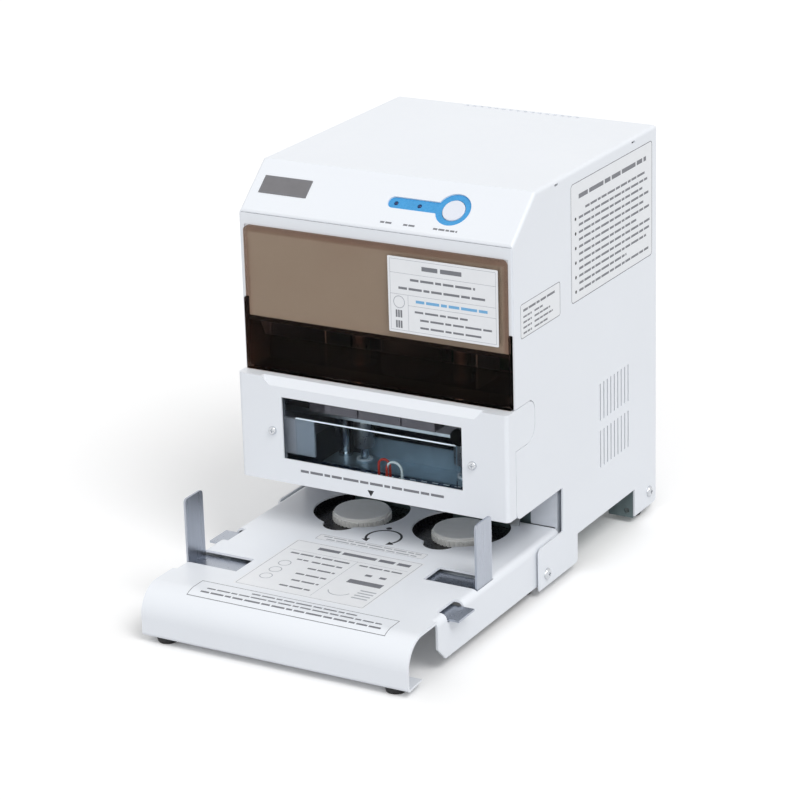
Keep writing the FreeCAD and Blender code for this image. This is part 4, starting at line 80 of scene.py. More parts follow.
class Finish:
    """One material round a Principled shader, with its textures in the part's own coordinates."""

    def __init__(self, name, color, roughness, metallic=0.0, **settings):
        self.mat = bpy.data.materials.new(name)
        self.mat.use_nodes = True
        self.tree = self.mat.node_tree
        self.shader = self.tree.nodes["Principled BSDF"]
        self.color = color
        self.set("Base Color", (*color, 1.0))
        self.set("Roughness", roughness)
        self.set("Metallic", metallic)
        for key, value in settings.items():
            self.set(key.replace("_", " ").title().replace("Ior", "IOR"), value)
        self.coords = self.tree.nodes.new("ShaderNodeTexCoord").outputs["Object"]
        self.bumps = None

    def set(self, socket, value):
        self.shader.inputs[socket].default_value = value

    def link(self, a, b):
        self.tree.links.new(a, b)

    def stretched(self, stretch):
        mapping = self.tree.nodes.new("ShaderNodeMapping")
        mapping.inputs["Scale"].default_value = stretch
        self.link(self.coords, mapping.inputs["Vector"])
        return mapping.outputs["Vector"]

    def noise(self, size, detail=3.0, stretch=(1.0, 1.0, 1.0), roughness=0.5, distortion=0.0):
        """Noise whose blobs are about that many millimetres across."""
        node = self.tree.nodes.new("ShaderNodeTexNoise")
        node.inputs["Scale"].default_value = 1 / (size * MM)
        node.inputs["Detail"].default_value = detail
        node.inputs["Roughness"].default_value = roughness
        node.inputs["Distortion"].default_value = distortion
        self.link(self.stretched(stretch), node.inputs["Vector"])
        return node.outputs["Fac"]

    def cells(self, size, stretch=(1.0, 1.0, 1.0)):
        node = self.tree.nodes.new("ShaderNodeTexVoronoi")
        node.inputs["Scale"].default_value = 1 / (size * MM)
        self.link(self.stretched(stretch), node.inputs["Vector"])
        return node.outputs["Color"]

    def math(self, operation, first, second=None):
        """One sum of the node tree; the second value is a socket or a number."""
        node = self.tree.nodes.new("ShaderNodeMath")
        node.operation = operation
        self.link(first, node.inputs[0])
        if hasattr(second, "links"):
            self.link(second, node.inputs[1])
        elif second is not None:
            node.inputs[1].default_value = second
        return node.outputs[0]

    def ranged(self, factor, low, high, start=0.3, end=0.7):
        node = self.tree.nodes.new("ShaderNodeMapRange")
        node.inputs["From Min"].default_value = start
        node.inputs["From Max"].default_value = end
        node.inputs["To Min"].default_value = low
        node.inputs["To Max"].default_value = high
        self.link(factor, node.inputs["Value"])
        return node.outputs["Result"]

    def shades(self, factor, dark, light, start=0.3, end=0.7):
        """The base colour runs between two colours with a texture."""
        node = self.tree.nodes.new("ShaderNodeMix")
        node.data_type = "RGBA"
        node.inputs["A"].default_value = (*dark, 1.0)
        node.inputs["B"].default_value = (*light, 1.0)
        self.link(self.ranged(factor, 0.0, 1.0, start, end), node.inputs["Factor"])
        self.link(node.outputs["Result"], self.shader.inputs["Base Color"])

    def tones(self, factor, amount):
        """The base colour gets lighter and darker by that share."""
        dark = tuple(c * (1 - amount) for c in self.color)
        light = tuple(min(c * (1 + amount), 1.0) for c in self.color)
        self.shades(factor, dark, light)

    def rubs(self, factor, low, high):
        self.link(self.ranged(factor, low, high), self.shader.inputs["Roughness"])

    def relief(self, factor, depth, strength=1.0):
        """Bumps of that depth in millimetres, on top of any before."""
        node = self.tree.nodes.new("ShaderNodeBump")
        node.inputs["Distance"].default_value = depth * MM
        node.inputs["Strength"].default_value = strength
        self.link(factor, node.inputs["Height"])
        if self.bumps is not None:
            self.link(self.bumps, node.inputs["Normal"])
        self.bumps = node.outputs["Normal"]
        self.link(self.bumps, self.shader.inputs["Normal"])

    def lets_lamps_through(self, tint):
        """Rays towards lamps pass the clear plastic, tinted, so that what is behind it is lit."""
        output = self.tree.nodes["Material Output"]
        path = self.tree.nodes.new("ShaderNodeLightPath")
        clear = self.tree.nodes.new("ShaderNodeBsdfTransparent")
        clear.inputs["Color"].default_value = (*tint, 1.0)
        mix = self.tree.nodes.new("ShaderNodeMixShader")
        self.link(path.outputs["Is Shadow Ray"], mix.inputs["Fac"])
        self.link(self.shader.outputs["BSDF"], mix.inputs[1])
        self.link(clear.outputs["BSDF"], mix.inputs[2])
        self.link(mix.outputs["Shader"], output.inputs["Surface"])


# materials


def white_paint():
    """Satin powder paint on folded sheet, with a fine orange peel."""
    paint = Finish("white_paint", (0.845, 0.875, 0.92), 0.34, specular_ior_level=0.45)
    paint.tones(paint.noise(90.0, detail=2.0), 0.008)
    paint.rubs(paint.noise(6.0), 0.30, 0.40)
    paint.relief(paint.noise(1.1, detail=2.0), 0.012)
    return paint.mat


def zinc_sheet():
    """Bright zinc plate with its rolled grain and a faint cloudiness."""
    zinc = Finish("zinc_sheet", (0.60, 0.63, 0.66), 0.38, metallic=1.0)
    zinc.tones(zinc.noise(11.0, detail=4.0, distortion=0.6), 0.10)
    zinc.rubs(zinc.noise(1.6, detail=3.0, stretch=(1.0, 0.08, 1.0)), 0.30, 0.46)
    zinc.relief(zinc.noise(0.5, detail=2.0, stretch=(1.0, 0.05, 1.0)), 0.006)
    return zinc.mat


def bright_steel():
    """Rolled steel strip, its grain upright."""
    steel = Finish("bright_steel", (0.43, 0.46, 0.52), 0.30, metallic=1.0)
    steel.tones(steel.noise(2.6, detail=3.0, stretch=(1.0, 1.0, 0.03)), 0.025)
    steel.rubs(steel.noise(1.2, detail=2.0, stretch=(1.0, 1.0, 0.02)), 0.26, 0.34)
    steel.relief(steel.noise(0.5, detail=1.0, stretch=(1.0, 1.0, 0.02)), 0.0015)
    return steel.mat


def polished_steel():
    """Ground and polished rods, screws and cutters."""
    steel = Finish("polished_steel", (0.62, 0.64, 0.67), 0.14, metallic=1.0)
    steel.tones(steel.noise(4.0), 0.04)
    steel.rubs(steel.noise(1.2, stretch=(1.0, 1.0, 0.2)), 0.10, 0.20)
    steel.relief(steel.noise(0.3, detail=1.0), 0.002)
    return steel.mat


def machined_steel():
    """Turned and milled steel with fine tool lines across the axis and a thin oil film."""
    steel = Finish("machined_steel", (0.46, 0.46, 0.47), 0.28, metallic=1.0)
    steel.tones(steel.noise(9.0, detail=3.0), 0.10)
    steel.rubs(steel.noise(2.0), 0.26, 0.36)
    steel.relief(steel.noise(0.5, detail=1.0, stretch=(0.05, 0.05, 1.0)), 0.003)
    return steel.mat


def bronze():
    metal = Finish("bronze", (0.62, 0.42, 0.20), 0.32, metallic=1.0)
    metal.tones(metal.noise(2.5, detail=4.0), 0.16)
    metal.rubs(metal.noise(1.0), 0.26, 0.42)
    metal.relief(metal.noise(0.3, stretch=(0.1, 0.1, 1.0)), 0.006)
    return metal.mat


def black_casting():
    """Black enamel over a cast surface."""
    iron = Finish("black_casting", (0.010, 0.010, 0.011), 0.26)
    iron.tones(iron.noise(3.0, detail=4.0), 0.30)
    iron.rubs(iron.noise(1.4), 0.20, 0.36)
    iron.relief(iron.noise(0.9, detail=4.0), 0.05)
    return iron.mat


def disc_plastic():
    """Off-white nylon, faintly swirled by its turning."""
    nylon = Finish("disc_plastic", (0.90, 0.905, 0.885), 0.42)
    nylon.shades(nylon.noise(5.0, detail=4.0), (0.875, 0.88, 0.855), (0.925, 0.93, 0.915))
    nylon.rubs(nylon.noise(1.8), 0.36, 0.50)
    nylon.relief(nylon.noise(0.5), 0.008)
    return nylon.mat


def smoked_plastic():
    """Smoked clear moulding with faint flow marks, darker along its edges, and darker in its tray as painted
    shade for the dark inside behind it.
    """
    thin, dark_smoke = (0.512, 0.445, 0.381), (0.40, 0.300, 0.255)
    smoke = Finish("smoked_plastic", SMOKE_COLOR, 0.05, transmission_weight=1.0, ior=SMOKE_IOR)
    (left, _, _), (right, _, top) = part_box("chip_box")
    half = (right - left) / 2
    place = smoke.tree.nodes.new("ShaderNodeSeparateXYZ")
    smoke.link(smoke.coords, place.inputs["Vector"])
    sideways = smoke.math("ABSOLUTE", place.outputs["X"])
    past_side = smoke.math("SUBTRACT", sideways, half - SMOKE_BORDER * MM)
    past_top = smoke.math("SUBTRACT", place.outputs["Z"], top - SMOKE_BORDER * MM)
    past_edge = smoke.math("MAXIMUM", past_side, past_top)
    edge = smoke.ranged(past_edge, 0.0, SMOKE_EDGE_SHARE, 0.0, SMOKE_EDGE_BLUR * MM)
    # under the top of the tray the smoke is darker: painted shade for the dark inside behind it
    tray_low, tray_high = SMOKE_TRAY - SMOKE_TRAY_BLUR, SMOKE_TRAY + SMOKE_TRAY_BLUR
    tray = smoke.ranged(place.outputs["Z"], 1.0, 0.0, tray_low * MM, tray_high * MM)
    clouds = smoke.ranged(smoke.noise(26.0, detail=3.0), -0.10, 0.10)
    depth = smoke.math("ADD", smoke.math("MAXIMUM", edge, tray), clouds)
    smoke.shades(depth, thin, dark_smoke, 0.0, 1.0)
    smoke.rubs(smoke.noise(14.0, detail=2.0), 0.03, 0.07)
    smoke.relief(smoke.noise(22.0, detail=1.0), 0.01)
    smoke.lets_lamps_through((0.66, 0.57, 0.49))
    return smoke.mat


def clear_plastic():
    """Clear sheet with a cool edge and light wiping marks."""
    clear = Finish("clear_plastic", (0.90, 0.95, 0.975), 0.03, transmission_weight=1.0, ior=1.10)
    clear.rubs(clear.noise(9.0, detail=3.0, stretch=(0.3, 1.0, 1.0)), 0.015, 0.05)
    clear.relief(clear.noise(30.0, detail=1.0), 0.006)
    clear.lets_lamps_through((0.93, 0.965, 0.975))
    return clear.mat


def moulded(name, color, low, high, grain=0.8, depth=0.01, tone=0.05):
    """Moulded plastic or rubber: an even colour, slight tones and a fine grain."""
    plastic = Finish(name, color, (low + high) / 2)
    plastic.tones(plastic.noise(8.0, detail=3.0), tone)
    plastic.rubs(plastic.noise(2.0), low, high)
    plastic.relief(plastic.noise(grain, detail=2.0), depth)
    return plastic.mat


def motor_shell():
    shell = Finish("motor_shell", (0.035, 0.036, 0.040), 0.40)
    shell.tones(shell.noise(5.0, detail=4.0), 0.25)
    shell.rubs(shell.noise(1.6), 0.30, 0.48)
    shell.relief(shell.noise(0.7, detail=3.0), 0.03)
    return shell.mat


def circuit_board():
    """Green lacquer over copper runs, seen as slightly lighter straight bands."""
    lacquer, run = (0.012, 0.085, 0.036), (0.030, 0.16, 0.070)
    board = Finish("circuit_board", (0.015, 0.10, 0.045), 0.34)
    board.shades(board.cells(5.0, stretch=(1.0, 1.0, 0.25)), lacquer, run, 0.35, 0.65)
    board.rubs(board.noise(2.0), 0.26, 0.42)
    board.relief(board.cells(2.4, stretch=(1.0, 1.0, 0.3)), 0.03)
    return board.mat


def lead_covers():
    """The bundle's insulated leads: red ones on the left, white ones on the right."""
    red, white = (0.62, 0.05, 0.03), (0.80, 0.80, 0.78)
    leads = Finish("lead_covers", (0.60, 0.08, 0.05), 0.42)
    split = leads.tree.nodes.new("ShaderNodeSeparateXYZ")
    leads.link(leads.coords, split.inputs["Vector"])
    left, right = LEAD_SPLIT - LEAD_BLUR, LEAD_SPLIT + LEAD_BLUR
    leads.shades(split.outputs["X"], red, white, left * MM, right * MM)
    leads.rubs(leads.noise(1.0), 0.34, 0.50)
    leads.relief(leads.noise(0.6), 0.01)
    return leads.mat


def worn_metal(name, color, roughness, metallic, blotch, stretch=(1.0, 1.0, 1.0)):
    """Plated or painted sheet whose tone and gloss drift a little from place to place."""
    sheet = Finish(name, color, roughness, metallic=metallic)
    sheet.tones(sheet.noise(blotch, detail=4.0, distortion=0.5), 0.12)
    sheet.rubs(sheet.noise(2.0, stretch=stretch), roughness - 0.06, roughness + 0.08)
    sheet.relief(sheet.noise(0.6, detail=2.0, stretch=stretch), 0.006)
    return sheet.mat


finishes = {
    "white_paint": white_paint(),
    "zinc_sheet": zinc_sheet(),
    "bright_steel": bright_steel(),
    "polished_steel": polished_steel(),
    "machined_steel": machined_steel(),
    "bronze": bronze(),
    "black_casting": black_casting(),
    "disc_plastic": disc_plastic(),
    "smoked_plastic": smoked_plastic(),
    "clear_plastic": clear_plastic(),
    "blue_plastic": moulded("blue_plastic", rgb(62, 156, 216), 0.22, 0.34),
    "button_plastic": moulded("button_plastic", rgb(226, 230, 240), 0.26, 0.38, tone=0.01),
    "lamp_plastic": moulded("lamp_plastic", rgb(14, 40, 96), 0.10, 0.20),
    "grey_moulding": moulded("grey_moulding", (0.115, 0.100, 0.115), 0.38, 0.52, grain=0.6, depth=0.02),
    "black_plastic": moulded(
        "black_plastic", (0.012, 0.012, 0.013), 0.32, 0.46, grain=0.5, depth=0.02, tone=0.2
    ),
    "black_rubber": moulded(
        "black_rubber", (0.014, 0.014, 0.016), 0.55, 0.75, grain=0.6, depth=0.03, tone=0.2
    ),
    "motor_shell": motor_shell(),
    "circuit_board": circuit_board(),
    "lead_rubber": lead_covers(),
}

# sheets of the same slot that the photograph shows darker, lighter or duller than the rest, coloured to
# match: painted shade on the deck, the left frame, the foot brackets and the bottom plate, painted light and
# reflection on the clamp plate and the right frame
lit_and_shaded_finishes = {
    "machine_deck": worn_metal("deck_zinc_painted_shade", (0.060, 0.085, 0.150), 0.34, 0.75, 24.0),
    "clamp_plate": worn_metal("clamp_steel_painted_reflection", (0.400, 0.490, 0.570), 0.36, 0.70, 18.0, (0.05, 1.0, 1.0)),
    "side_frame_left": worn_metal("frame_zinc_painted_shade", (0.250, 0.255, 0.290), 0.50, 0.25, 30.0),
    "side_frame_right": worn_metal("frame_zinc_painted_light", (0.700, 0.735, 0.790), 0.50, 0.20, 30.0),
    "rear_foot_brackets": worn_metal("bracket_zinc_painted_shade", (0.170, 0.220, 0.230), 0.40, 0.60, 12.0),
    "bottom_plate": worn_metal("bottom_zinc_painted_shade", (0.160, 0.220, 0.230), 0.42, 0.70, 26.0),
}

for entry in frame["record"]["subparts"]:
    finish = lit_and_shaded_finishes.get(entry["node"], finishes[entry["material_slot"]])
    for spot in nodes_by_name[entry["node"]].material_slots:
        spot.material = finish


# faces that stickers and prints lie on


class Face:
    """A flat face of the machine, measured in millimetres across and up from its own origin."""

    def __init__(self, origin, across, up):
        self.origin = Vector(origin)
        self.across = Vector(across).normalized()
        self.up = Vector(up).normalized()
        self.out = self.across.cross(self.up)

    def point(self, across, up, lift):
        return (self.origin + self.across * across + self.up * up + self.out * lift) * MM


# millimetres: where the flat faces lie
SLOPE_FOOT = (-35.5, 262.6)
SLOPE_RUN, SLOPE_RISE = 32.4, 27.4
CASING_SIDE, SHADE_SHEET_SIDE = 105.0, 103.7
BOX_FRONT, BOX_PANEL_BACK = -38.5, -35.75
COVER_FRONT = -47.6
TABLE_TOP, DECK_TOP, CLAMP_TOP = 38.5, 73.0, 74.3

slope_face = Face((0.0, *SLOPE_FOOT), (1, 0, 0), (0, SLOPE_RUN, SLOPE_RISE))
right_face = Face((CASING_SIDE, 0.0, 0.0), (0, 1, 0), (0, 0, 1))
box_face = Face((0.0, BOX_FRONT, 0.0), (1, 0, 0), (0, 0, 1))
behind_box = Face((0.0, BOX_PANEL_BACK, 0.0), (1, 0, 0), (0, 0, 1))
cover_face = Face((0.0, COVER_FRONT, 0.0), (1, 0, 0), (0, 0, 1))
table_face = Face((0.0, 0.0, TABLE_TOP), (1, 0, 0), (0, 1, 0))
deck_face = Face((0.0, 0.0, DECK_TOP), (1, 0, 0), (0, 1, 0))
clamp_face = Face((0.0, 0.0, CLAMP_TOP), (1, 0, 0), (0, 1, 0))


def link_mesh(name, bm, mat, body):
    """Makes the mesh an object that rides on that body."""
    bmesh.ops.recalc_face_normals(bm, faces=bm.faces)
    mesh = bpy.data.meshes.new(name)
    bm.to_mesh(mesh)
    bm.free()
    mesh.materials.append(mat)
    obj = bpy.data.objects.new(name, mesh)
    bpy.context.scene.collection.objects.link(obj)
    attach(obj, body)
    return obj


def plate(bm, outline, place, low, high):
    """Adds a thin plate with that outline; place gives the point for (across, up, lift)."""
    under = [bm.verts.new(place(a, b, low)) for a, b in outline]
    over = [bm.verts.new(place(a, b, high)) for a, b in outline]
    bm.faces.new(under[::-1])
    bm.faces.new(over)
    count = len(outline)
    for i in range(count):
        j = (i + 1) % count
        bm.faces.new((under[i], under[j], over[j], over[i]))


def rounded(left, low, right, high, radius, steps=5):
    """The outline of a rectangle with rounded corners."""
    points = []
    corners = ((right, low, -90), (right, high, 0), (left, high, 90), (left, low, 180))
    middle = ((left + right) / 2, (low + high) / 2)
    for x, y, start in corners:
        cx = x - math.copysign(radius, x - middle[0])
        cy = y - math.copysign(radius, y - middle[1])
        for step in range(steps + 1):
            angle = math.radians(start + 90 * step / steps)
            points.append((cx + radius * math.cos(angle), cy + radius * math.sin(angle)))
    return points


def bar(left, low, right, high):
    return [(left, low), (right, low), (right, high), (left, high)]


def border(left, low, right, high, line):
    """Four thin bars round a rectangle."""
    return [
        bar(left, low, right, low + line),
        bar(left, high - line, right, high),
        bar(left, low + line, left + line, high - line),
        bar(right - line, low + line, right, high - line),
    ]


# a little short of a whole turn in degrees, so that a ring's ends don't meet
FULL_TURN = 359.9
# millimetres: the hole left in a dot
DOT_HOLE = 0.02


def ring_outline(cx, cy, outer, inner, start, end, steps=40):
    """The outline of an arc-shaped band, angles in degrees."""
    spans = [math.radians(start + (end - start) * i / steps) for i in range(steps + 1)]
    out = [(cx + outer * math.cos(a), cy + outer * math.sin(a)) for a in spans]
    back = [(cx + inner * math.cos(a), cy + inner * math.sin(a)) for a in reversed(spans)]
    return out + back


def circle(cx, cy, outer, inner=DOT_HOLE, steps=40):
    """A ring, or a dot where no inner radius is given."""
    return ring_outline(cx, cy, outer, inner, 0, FULL_TURN, steps)


def inset(edges, by):
    """The same rectangle, smaller by that much on each side."""
    left, low, right, high = edges
    return left + by, low + by, right - by, high - by


# millimetres: thicknesses of stickers, of the name plate and of ink
STICKER_T = 0.12
TABLE_STICKER_T = 0.06
THIN_STICKER_T = 0.05
BADGE_T = 0.3
INK_T = 0.03


def sticker(name, outline, face, mat, body="chassis", thickness=STICKER_T):
    bm = bmesh.new()
    plate(bm, outline, face.point, 0.0, thickness)
    link_mesh(name, bm, mat, body)


def ink(name, outlines, face, mat, body="chassis", base=0.0):
    bm = bmesh.new()
    for outline in outlines:
        plate(bm, outline, face.point, base, base + INK_T)
    link_mesh(name, bm, mat, body)


paper_white = moulded("label_film", rgb(238, 240, 243), 0.28, 0.40, grain=1.4, depth=0.006, tone=0.012)
badge_grey = moulded("badge_grey", rgb(116, 115, 118), 0.30, 0.44, grain=0.8, depth=0.01)
ink_black = moulded("ink_black", rgb(26, 26, 30), 0.40, 0.55)
ink_grey = moulded("ink_grey", rgb(120, 122, 128), 0.40, 0.55)
ink_pale = moulded("ink_pale", rgb(176, 179, 186), 0.40, 0.55)
ink_blue = moulded("ink_blue", rgb(118, 178, 222), 0.40, 0.55)
# white and glossy: painted highlight for the glints behind the window
painted_highlight = moulded("painted_highlight", rgb(236, 240, 246), 0.16, 0.26, grain=0.5, depth=0.004, tone=0.02)
# nearly black: painted shade behind the side slots
painted_vent_shade = moulded("painted_vent_shade", (0.012, 0.013, 0.014), 0.70, 0.90, grain=0.9, depth=0.08, tone=0.4)
# black: painted shade in the seam under the chip box's panel
painted_seam_shade = moulded("painted_seam_shade", rgb(14, 10, 10), 0.40, 0.60)


# the bars that stand for words: lengths, gap, and the share of a line left free above and below them
WORD_LENGTHS = (6.5, 10.0, 4.5, 8.0, 12.0)
WORD_GAP = 1.3
WORD_MARGIN = 0.21
# millimetres on its face: left, low, right and high edge of each label
BADGE = (-96.4, 14.3, -58.7, 28.7)
BOX_LABEL = (12.0, 192.0, 95.0, 245.0)
SIDE_LABEL = (48.0, 197.0, 176.0, 281.0)
SIDE_PLATE = (-26.7, 195.0, 31.0, 219.0)
TABLE_LABEL = (-52.0, -147.0, 49.0, -63.0)
TABLE_STRIP = (-42.0, -57.0, 43.0, -48.0)
FRONT_STRIP = (-72.0, -172.6, 80.0, -152.6)
# each legend's name, its middle and half its width
LEGENDS = (("lamp_legend_left", 8.4, 4.6), ("lamp_legend_right", 26.0, 4.6), ("button_legend", 53.0, 9.0))
# where the lines of the large side label start and end, and which of them have a dot
SIDE_LINES = (
    (70.0, 166.0), (60.0, 168.0), (60.0, 160.0), (60.0, 170.0), (60.0, 164.0), (60.0, 171.0),
    (60.0, 150.0), (60.0, 172.0), (60.0, 171.0), (60.0, 166.0), (60.0, 134.0), (60.0, 170.0),
)
SIDE_DOTS = (1, 3, 5, 7, 9, 11)
# millimetres: a height well over the table, and the longest flat piece of the strip on its bend
OVER_TABLE = 200.0
STRIP_STEP = 2.0
# half the length of the shield's upper edge, with its place back and up; the drills' places
SHIELD_HALF, SHIELD_EDGE = 62.8, (-41.45, 118.5)
DRILL_ACROSS, DRILL_BACK = 40.0, 11.4
# the edges of the dark sheets of painted shade behind the side slots
SHADE_SHEET_FRONT, SHADE_SHEET_REAR, SHADE_SHEET_LOW, SHADE_SHEET_HIGH = 86.0, 142.0, 59.5, 130.5


def words(left, right, low, high, lengths=WORD_LENGTHS, gap=WORD_GAP):
    """One line of thin bars of several lengths, as a row of words looks from afar."""
    bars = []
    start, step = left, 0
    margin = (high - low) * WORD_MARGIN
    while right - start > gap:
        end = min(start + lengths[step % len(lengths)], right)
        bars.append(bar(start, low + margin, end, high - margin))
        start = end + gap
        step += 1
    return bars


def paragraph(spans, top, pitch, height):
    """Lines of words under one another; each span gives where a line starts and ends."""
    bars = []
    for step, (start, end) in enumerate(spans):
        high = top - pitch * step
        bars += words(start, end, high - height, high)
    return bars


def slope_marks():
    """The bare name plate, and a bare legend under each control."""
    sticker("bare_badge", rounded(*BADGE, 0.5), slope_face, badge_grey, thickness=BADGE_T)
    ink("badge_border", border(*inset(BADGE, 0.8), 0.35), slope_face, ink_grey, base=BADGE_T)
    for name, middle, half in LEGENDS:
        bars = words(middle - half, middle + half, 3.0, 5.4, (3.2, 4.6, 2.6), 0.8)
        ink(name, bars, slope_face, ink_grey)


def box_label():
    """The label on the chip box: a framed sheet, ruled lines, one blue line and a narrow left column."""
    def printed(name, outlines, mat):
        ink(name, outlines, box_face, mat, "chip_box", STICKER_T)

    sticker("box_label", rounded(*BOX_LABEL, 0.8), box_face, paper_white, "chip_box")
    framed = inset(BOX_LABEL, 1.6)
    left, low, right, _ = framed
    head_rule, row_rule, blue_rule, column = 233.6, 218.8, 211.6, 27.0
    line = 0.25
    lines = border(*framed, line)
    lines += [bar(left, rule, right, rule + line) for rule in (head_rule, row_rule)]
    lines += [bar(column, low, column + line, row_rule), bar(column, blue_rule, right, blue_rule + line)]
    printed("box_label_lines", lines, ink_pale)
    printed("box_label_head", words(38.0, 68.0, 236.0, 241.2, (12.0, 16.0), 2.0), ink_grey)
    rows = words(29.0, 78.0, 228.4, 231.2) + words(20.0, 87.0, 222.0, 224.8)
    rows += paragraph(((32.0, 72.0), (36.0, 90.0), (36.0, 82.0)), 209.0, 5.3, 2.4)
    printed("box_label_rows", rows, ink_grey)
    printed("box_label_blue", words(33.0, 89.0, 213.4, 216.8), ink_blue)
    printed("box_label_ring", [circle(20.2, 213.4, 4.4, 3.9)], ink_pale)
    blocks = [bar(17.4, low_edge, 22.8, low_edge + 5.2) for low_edge in (202.6, 195.2)]
    printed("box_label_blocks", [outline for block in blocks for outline in grid(block, 3, 0.5)], ink_grey)


def grid(block, count, gap):
    """Splits a rectangle into that many upright bars."""
    (left, low), (right, _), (_, high), _ = block
    pitch = (right - left) / count
    return [bar(left + pitch * i, low, left + pitch * (i + 1) - gap, high) for i in range(count)]


def side_labels():
    """Two labels on the right side of the cover: one large with ruled lines, one small."""
    def printed(name, outlines, mat=ink_grey):
        ink(name, outlines, right_face, mat, base=THIN_STICKER_T)

    sticker("side_label", rounded(*SIDE_LABEL, 3.0), right_face, paper_white, thickness=THIN_STICKER_T)
    printed("side_label_border", frame_ring(*SIDE_LABEL, 3.0, 0.55))
    printed("side_label_head", words(60.0, 166.0, 267.6, 273.0, (14.0, 22.0, 9.0), 2.0))
    first_line, pitch, height, dot_drop = 262.0, 5.15, 2.9, 1.25
    printed("side_label_rows", paragraph(SIDE_LINES, first_line, pitch, height))
    dots = [circle(55.0, first_line - pitch * step - dot_drop, 1.2, steps=16) for step in SIDE_DOTS]
    printed("side_label_dots", dots, ink_black)
    sticker("side_plate", rounded(*SIDE_PLATE, 2.0), right_face, paper_white, thickness=THIN_STICKER_T)
    printed("side_plate_border", frame_ring(*SIDE_PLATE, 2.0, 0.45))
    left, _, right, _ = SIDE_PLATE
    first_column, second_column = left + 4.0, left + 20.0
    rows = words(first_column, right - 8.0, 212.6, 215.4)
    for step, end in enumerate((6.0, 16.0, 20.0, 12.0)):
        top = 210.6 - 3.75 * step
        rows += words(first_column, left + 16.0, top - 2.2, top, (5.0, 3.4), 0.9)
        rows += words(second_column, end, top - 2.2, top, (7.0, 4.0), 0.9)
    printed("side_plate_rows", rows)


def frame_ring(left, low, right, high, radius, line):
    """A thin frame with rounded corners, in four runs and four arcs."""
    runs = [
        bar(left + radius, low, right - radius, low + line),
        bar(left + radius, high - line, right - radius, high),
        bar(left, low + radius, left + line, high - radius),
        bar(right - line, low + radius, right, high - radius),
    ]
    arcs = [
        ring_outline(right - radius, high - radius, radius, radius - line, 0, 90, 6),
        ring_outline(left + radius, high - radius, radius, radius - line, 90, 180, 6),
        ring_outline(left + radius, low + radius, radius, radius - line, 180, 270, 6),
        ring_outline(right - radius, low + radius, radius, radius - line, 270, 360, 6),
    ]
    return runs + arcs


def table_marks():
    """The labels on the paper table: a large one in two columns, a thin strip over it and the round marks."""
    def printed(name, outlines, mat, base=TABLE_STICKER_T):
        ink(name, outlines, table_face, mat, base=base)

    left, low, right, _ = TABLE_LABEL
    margin, line = 4.0, 0.3
    head_rule, column = -80.3, 6.0
    sticker("table_label", rounded(*TABLE_LABEL, 1.6), table_face, paper_white, thickness=TABLE_STICKER_T)
    printed("table_label_border", frame_ring(*inset(TABLE_LABEL, 1.2), 1.2, 0.5), ink_pale)
    upright = bar(column, low + margin, column + line, head_rule + line)
    level = bar(left + margin, head_rule, right - margin, head_rule + line)
    printed("table_label_lines", [upright, level], ink_pale)
    printed("table_label_head", words(-30.0, 42.0, -75.0, -68.0, (17.0, 26.0, 12.0), 2.4), ink_grey)
    rows = words(-44.0, 3.0, -86.8, -83.2) + words(10.0, 43.0, -86.4, -83.2)
    rows += paragraph([(-22.0 + 3.0 * (step % 2), 2.0) for step in range(5)], -92.0, 10.5, 3.6)
    rows += words(-34.0, -25.0, -95.0, -92.0, (4.0, 5.0), 1.0)
    printed("table_label_rows", rows, ink_grey)
    rings = [circle(-38.0, -103.0 - 12.0 * step, 4.6, 3.9) for step in range(3)]
    printed("table_label_rings", rings, ink_pale)
    blocks = [bar(16.0, -113.0, 42.0, -107.0), bar(22.0, -99.0, 27.0, -96.0), bar(33.0, -99.0, 38.0, -96.0)]
    printed("table_label_blocks", blocks, ink_grey)
    sketch = [ring_outline(20.0, -126.0, 9.0, 8.2, 200, 340, 16)]
    sketch += [bar(32.0, edge, 44.0, edge + 1.6) for edge in (-122.0, -126.0, -130.0, -134.0)]
    printed("table_label_sketch", sketch, ink_pale)
    sticker("table_strip", rounded(*TABLE_STRIP, 1.0), table_face, paper_white, thickness=THIN_STICKER_T)
    printed("table_strip_border", frame_ring(*TABLE_STRIP, 1.0, 0.4), ink_pale, THIN_STICKER_T)
    lines = words(-38.0, 39.0, -52.0, -49.4) + words(-34.0, 37.0, -55.8, -53.2)
    printed("table_strip_rows", lines, ink_pale, THIN_STICKER_T)
    printed("table_dot", [circle(-4.5, -19.0, 2.1, steps=24)], ink_black, 0.0)
    printed("table_turn_mark", turn_mark(0.0, -34.5, 12.4), ink_black, 0.0)


def turn_mark(cx, cy, radius):
    """A three-quarter ring with an arrow head at each end, as on a part that is turned by hand."""
    first, last = -34.0, 214.0
    half_line, head_half, head_length = 0.85, 3.0, 5.0
    outlines = [ring_outline(cx, cy, radius + half_line, radius - half_line, first, last, 48)]
    for angle, way in ((first, -1), (last, 1)):
        a = math.radians(angle)
        out = Vector((math.cos(a), math.sin(a)))
        along = Vector((-math.sin(a), math.cos(a))) * way
        middle = Vector((cx, cy)) + out * radius
        tips = (out * head_half, along * head_length, out * -head_half)
        outlines.append([tuple(middle + tip) for tip in tips])
    return outlines


def lip_place(tree, across, along, lift):
    """The point on the table, flat or bent, right under that place, raised off its skin by the lift."""
    above = Vector((across * MM, along * MM, OVER_TABLE * MM))
    hit, normal, _, _ = tree.ray_cast(above, Vector((0.0, 0.0, -1.0)))
    return hit + normal * lift * MM


